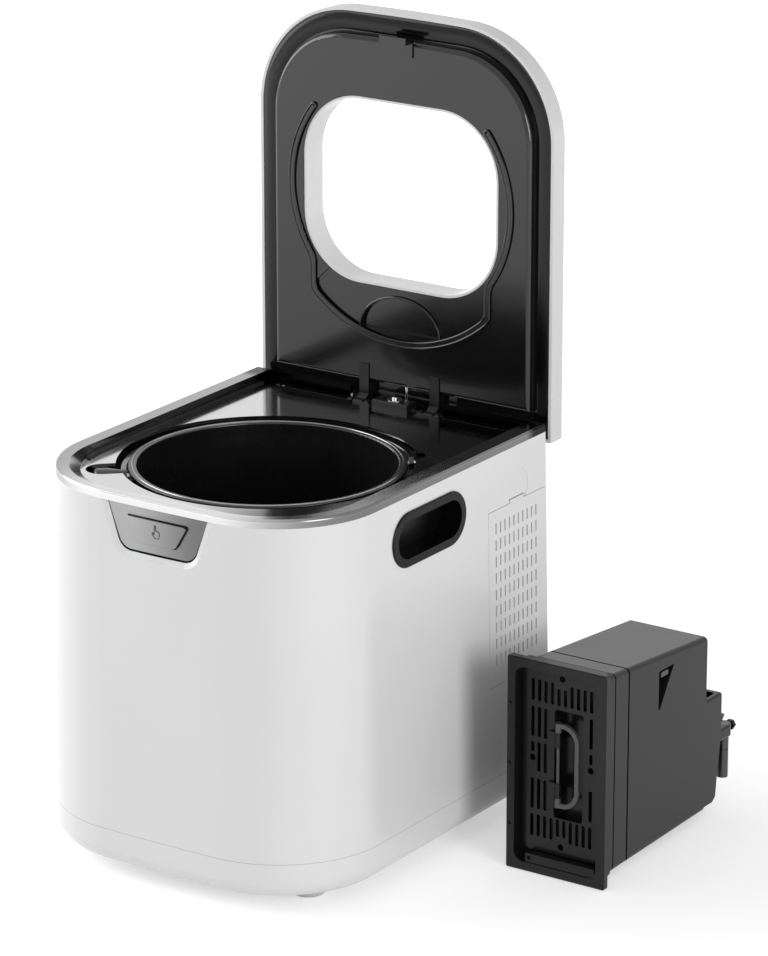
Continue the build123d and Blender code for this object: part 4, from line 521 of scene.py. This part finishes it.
def makeSealRib():
    outer, inner = ribRun(sealRib["bandHalf"]), ribRun(-sealRib["bandHalf"])
    start, end = math.radians(sealRib["frontTurn"]), math.pi - math.radians(sealRib["frontTurn"])
    loop = outer + ribCap(end, 1) + inner[::-1] + ribCap(start, -1)[::-1]
    beads = roundWire(loop, sealRib["beadRadius"], closed=True)
    count = len(outer)
    drop = Vector((0, 0, sealRib["floorDrop"]))
    floorBand = linkMesh("sealFloor", [Vector(point) - drop for point in outer + inner],
                         [(spot, spot + 1, count + spot + 1, count + spot) for spot in range(count - 1)])
    selectOnly(floorBand)
    bpy.ops.object.mode_set(mode="EDIT")
    bpy.ops.mesh.select_all(action="SELECT")
    bpy.ops.mesh.extrude_region_move(TRANSFORM_OT_translate={"value": (0, 0, sealRib["floorDepth"])})
    bpy.ops.mesh.select_all(action="SELECT")
    bpy.ops.mesh.normals_make_consistent(inside=False)
    bpy.ops.object.mode_set(mode="OBJECT")
    rib = joinPieces([beads, floorBand])
    swingOpen(rib)
    finishPiece(rib, "sealBeads", "lid", "ribBlack")
    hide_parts("lid_seal_rib")


makeSealRib()

# bead round the finger pocket below the window
pocketBead = {"halfWide": 0.0382, "reach": 0.0292, "centreY": 0.0950, "height": 0.3133, "radius": 0.0008,
              "steps": 40}


def makePocketBead():
    turns = [math.pi * step / pocketBead["steps"] for step in range(pocketBead["steps"] + 1)]
    points = [(pocketBead["halfWide"] * math.cos(turn),
               pocketBead["centreY"] - pocketBead["reach"] * math.sin(turn), pocketBead["height"])
              for turn in turns]
    bead = roundWire(points, pocketBead["radius"])
    swingOpen(bead)
    finishPiece(bead, "pocketBead", "lid", "lidBlack")


makePocketBead()

# crowned border between the raised plate and the white frame of the lid
borderRoll = {"outerInset": 0.0030, "innerInset": 0.0166, "bodyHalf": 0.140, "front": -0.165, "rear": 0.165,
              "bow": 0.0045, "bowShare": 0.45, "bowTurnShare": 0.72, "frontRadius": 0.088, "rearRadius": 0.022,
              "smallestRadius": 0.002, "bed": 0.32035, "crown": 0.00105, "fullness": 0.8, "cornerSteps": 20,
              "profileSteps": 10}


def lidOutline(inset):
    # the D-shaped outline, drawn in by the inset, front corners large and rear corners small
    half = borderRoll["bodyHalf"] - inset
    front, rear = borderRoll["front"] + inset, borderRoll["rear"] - inset
    big = borderRoll["frontRadius"] - inset
    small = max(borderRoll["rearRadius"] - inset, borderRoll["smallestRadius"])
    bowTurn = math.atan2(borderRoll["bow"], half) * borderRoll["bowTurnShare"]
    steps = borderRoll["cornerSteps"]
    points = arcPoints((half - big, front + borderRoll["bow"] * borderRoll["bowShare"] + big), big,
                       bowTurn - math.pi / 2, 0.0, steps, 0.0)
    points += arcPoints((half - small, rear - small), small, 0.0, math.pi / 2, steps, 0.0)
    return points + [(-x, y, z) for x, y, z in points[::-1]]


def makeBorderRoll():
    steps = borderRoll["profileSteps"]
    rings = []
    for step in range(steps + 1):
        share = step / steps
        inset = borderRoll["outerInset"] + (borderRoll["innerInset"] - borderRoll["outerInset"]) * share
        height = borderRoll["bed"] - borderRoll["crown"] * math.sin(math.pi * share) ** borderRoll["fullness"]
        rings.append([(x, y, height) for x, y, z in lidOutline(inset)])
    count = len(rings[0])
    faces = [(row * count + spot, row * count + (spot + 1) % count, (row + 1) * count + (spot + 1) % count,
              (row + 1) * count + spot) for row in range(steps) for spot in range(count)]
    roll = linkMesh("borderRoll", [point for ring in rings for point in ring], faces)
    swingOpen(roll)
    finishPiece(roll, "borderRoll", "lid", "borderBlack")


makeBorderRoll()

# dull steel edge along the top of the bucket's lip
lipRing = {"centreY": -0.018, "radius": 0.1058, "height": 0.31035, "thickness": 0.0007, "sides": 10,
           "steps": 96, "mergeGap": 0.00005}


def makeLipRing():
    bpy.ops.object.select_all(action="DESELECT")
    bpy.ops.mesh.primitive_circle_add(vertices=lipRing["sides"], radius=lipRing["thickness"],
                                      rotation=(math.pi / 2, 0, 0),
                                      location=(lipRing["radius"], lipRing["centreY"], lipRing["height"]))
    ring = bpy.context.object
    applyPlace(ring)
    bpy.ops.object.mode_set(mode="EDIT")
    bpy.ops.mesh.select_all(action="SELECT")
    bpy.ops.mesh.spin(steps=lipRing["steps"], angle=2 * math.pi, center=(0, lipRing["centreY"], 0),
                      axis=(0, 0, 1))
    bpy.ops.mesh.select_all(action="SELECT")
    bpy.ops.mesh.remove_doubles(threshold=lipRing["mergeGap"])
    bpy.ops.mesh.normals_make_consistent(inside=False)
    bpy.ops.object.mode_set(mode="OBJECT")
    finishPiece(ring, "lipRing", "bucket", "lipSteel")


makeLipRing()

# pressing hand on the open button, drawn as one thin line; x to the right and z up, in millimetres
handMark = {
    "middle": (0.0003, -0.16525, 0.2944), "scale": 0.00094, "lineRadius": 0.00024,
    "outline": [(-1.5, 5.4), (-0.8, 6.0), (-0.1, 5.4), (-0.1, 1.2), (0.6, 1.7), (1.3, 1.1), (1.9, 1.4),
                (2.5, 0.8), (3.1, 0.9), (3.6, 0.2), (3.6, -2.4), (2.7, -5.0), (-1.3, -5.0), (-2.2, -3.2),
                (-3.7, -1.3), (-3.5, -0.5), (-2.7, -0.6), (-1.5, -1.8)],
}


def makeHandMark():
    middle, scale = handMark["middle"], handMark["scale"]
    points = [(middle[0] + x * scale, middle[1], middle[2] + z * scale) for x, z in handMark["outline"]]
    mark = roundWire(points, handMark["lineRadius"], closed=True, sides=2)
    finishPiece(mark, "handMark", "button", "markInk")


makeHandMark()

# small arrow mark on the front right corner of the rim, a flat line
arrowMark = {"middle": (0.1110, -0.1330), "height": 0.3190, "inward": (-0.70, 0.714), "halfWidth": 0.0056,
             "rise": 0.0018, "lineRadius": 0.0007, "flatness": 0.28}


def makeArrowMark():
    middle, inward = Vector((*arrowMark["middle"], 0)), Vector((*arrowMark["inward"], 0)).normalized()
    along = Vector((-inward.y, inward.x, 0))
    points = [middle - along * arrowMark["halfWidth"] - inward * arrowMark["rise"],
              middle + inward * arrowMark["rise"],
              middle + along * arrowMark["halfWidth"] - inward * arrowMark["rise"]]
    mark = roundWire(points, arrowMark["lineRadius"], sides=2)
    mark.scale = (1.0, 1.0, arrowMark["flatness"])
    mark.location = (0, 0, arrowMark["height"])
    applyPlace(mark)
    finishPiece(mark, "arrowMark", "housing", "markInk")


makeArrowMark()

# thin metal blade on the lid that meets the switch plunger
triggerBlade = {"x": 0.0027, "halfWidth": 0.0011, "near": 0.1720, "back": 0.1733, "low": 0.3110, "high": 0.3235,
                "bevel": 0.0004, "bevelSteps": 3}


def makeTriggerBlade():
    near, back = triggerBlade["near"], triggerBlade["back"]
    low, high = triggerBlade["low"], triggerBlade["high"]
    bpy.ops.object.select_all(action="DESELECT")
    bpy.ops.mesh.primitive_cube_add(size=1.0, location=(triggerBlade["x"], (near + back) / 2, (low + high) / 2))
    blade = bpy.context.object
    blade.scale = (2 * triggerBlade["halfWidth"], back - near, high - low)
    applyPlace(blade)
    bpy.ops.object.mode_set(mode="EDIT")
    bpy.ops.mesh.select_all(action="SELECT")
    bpy.ops.mesh.bevel(offset=triggerBlade["bevel"], segments=triggerBlade["bevelSteps"])
    bpy.ops.object.mode_set(mode="OBJECT")
    finishPiece(blade, "triggerBlade", "lid", "plainSteel")


makeTriggerBlade()
print("details made")

studio = {
    "floorSize": 16.0, "floorDrop": 0.0003, "floorTone": 0.86, "floorLift": 0.46,
    "fadeStart": 1.0, "fadeEnd": 2.6, "worldStrength": 0.45, "aimHeight": 0.25,
    "lamps": {
        "leftLamp": {"place": (-2.74, -0.95, 1.35), "size": 2.6, "power": 63.0},
        "rightLamp": {"place": (2.70, -0.93, 0.90), "size": 1.4, "power": 30.5},
    },
}


def makeFloor():
    bpy.ops.object.select_all(action="DESELECT")
    bpy.ops.mesh.primitive_plane_add(size=studio["floorSize"], location=(0, 0, -studio["floorDrop"]))
    floor = bpy.context.object
    floor.name = "studioFloor"
    material, tree, shader = startMaterial("floorPale", (studio["floorTone"],) * 3, Roughness=0.9)
    shader.inputs["Emission Color"].default_value = (1, 1, 1, 1)
    place = addNode(tree, "ShaderNodeTexCoord")
    reach = addNode(tree, "ShaderNodeVectorMath", {"operation": "LENGTH"})
    fade = addNode(tree, "ShaderNodeMapRange", From_Min=studio["fadeStart"], From_Max=studio["fadeEnd"],
                   To_Min=studio["floorLift"], To_Max=1.0)
    lift = addNode(tree, "ShaderNodeMath", {"operation": "MULTIPLY"})
    join(tree,
         (place.outputs["Object"], reach.inputs[0]), (reach.outputs["Value"], fade.inputs["Value"]),
         (seenDirectly(tree), lift.inputs[0]), (fade.outputs["Result"], lift.inputs[1]),
         (lift.outputs[0], shader.inputs["Emission Strength"]))
    floor.data.materials.append(material)


def makeWorld():
    world = bpy.data.worlds.new("paleRoom")
    bpy.context.scene.world = world
    world.use_nodes = True
    tree = world.node_tree
    shade = tree.nodes["Background"]
    shade.inputs["Color"].default_value = (1, 1, 1, 1)
    level = addNode(tree, "ShaderNodeMapRange", To_Min=studio["worldStrength"], To_Max=1.0)
    join(tree,
         (seenDirectly(tree), level.inputs["Value"]), (level.outputs["Result"], shade.inputs["Strength"]))


def makeLamp(name, place, size, power):
    bpy.ops.object.light_add(type="AREA", location=place)
    lamp = bpy.context.object
    lamp.name = name
    lamp.data.shape = "DISK"
    lamp.data.size = size
    lamp.data.energy = power
    aim = Vector((0, 0, studio["aimHeight"])) - Vector(place)
    lamp.rotation_euler = aim.to_track_quat("-Z", "Y").to_euler()


cameraPlan = {
    "place": (2.0193, -2.8552, 1.4486), "ahead": (-0.5462, 0.7723, -0.3242),
    "aside": 0.02181, "above": 0.01079, "lens": 177.3, "sensor": 36.0, "farEnd": 60.0,
}


def makeCamera():
    ahead = Vector(cameraPlan["ahead"]).normalized()
    right = ahead.cross(Vector((0, 0, 1))).normalized()
    up = right.cross(ahead)
    look = ahead + right * cameraPlan["aside"] + up * cameraPlan["above"]
    bpy.ops.object.camera_add(location=cameraPlan["place"])
    camera = bpy.context.object
    camera.name = "studioCamera"
    camera.rotation_euler = look.to_track_quat("-Z", "Y").to_euler()
    camera.data.lens = cameraPlan["lens"]
    camera.data.sensor_width = cameraPlan["sensor"]
    camera.data.clip_end = cameraPlan["farEnd"]
    bpy.context.scene.camera = camera


makeFloor()
makeWorld()
for lampName, plan in studio["lamps"].items():
    makeLamp(lampName, plan["place"], plan["size"], plan["power"])
makeCamera()
bpy.context.scene.view_settings.view_transform = "Standard"
print("studio ready")
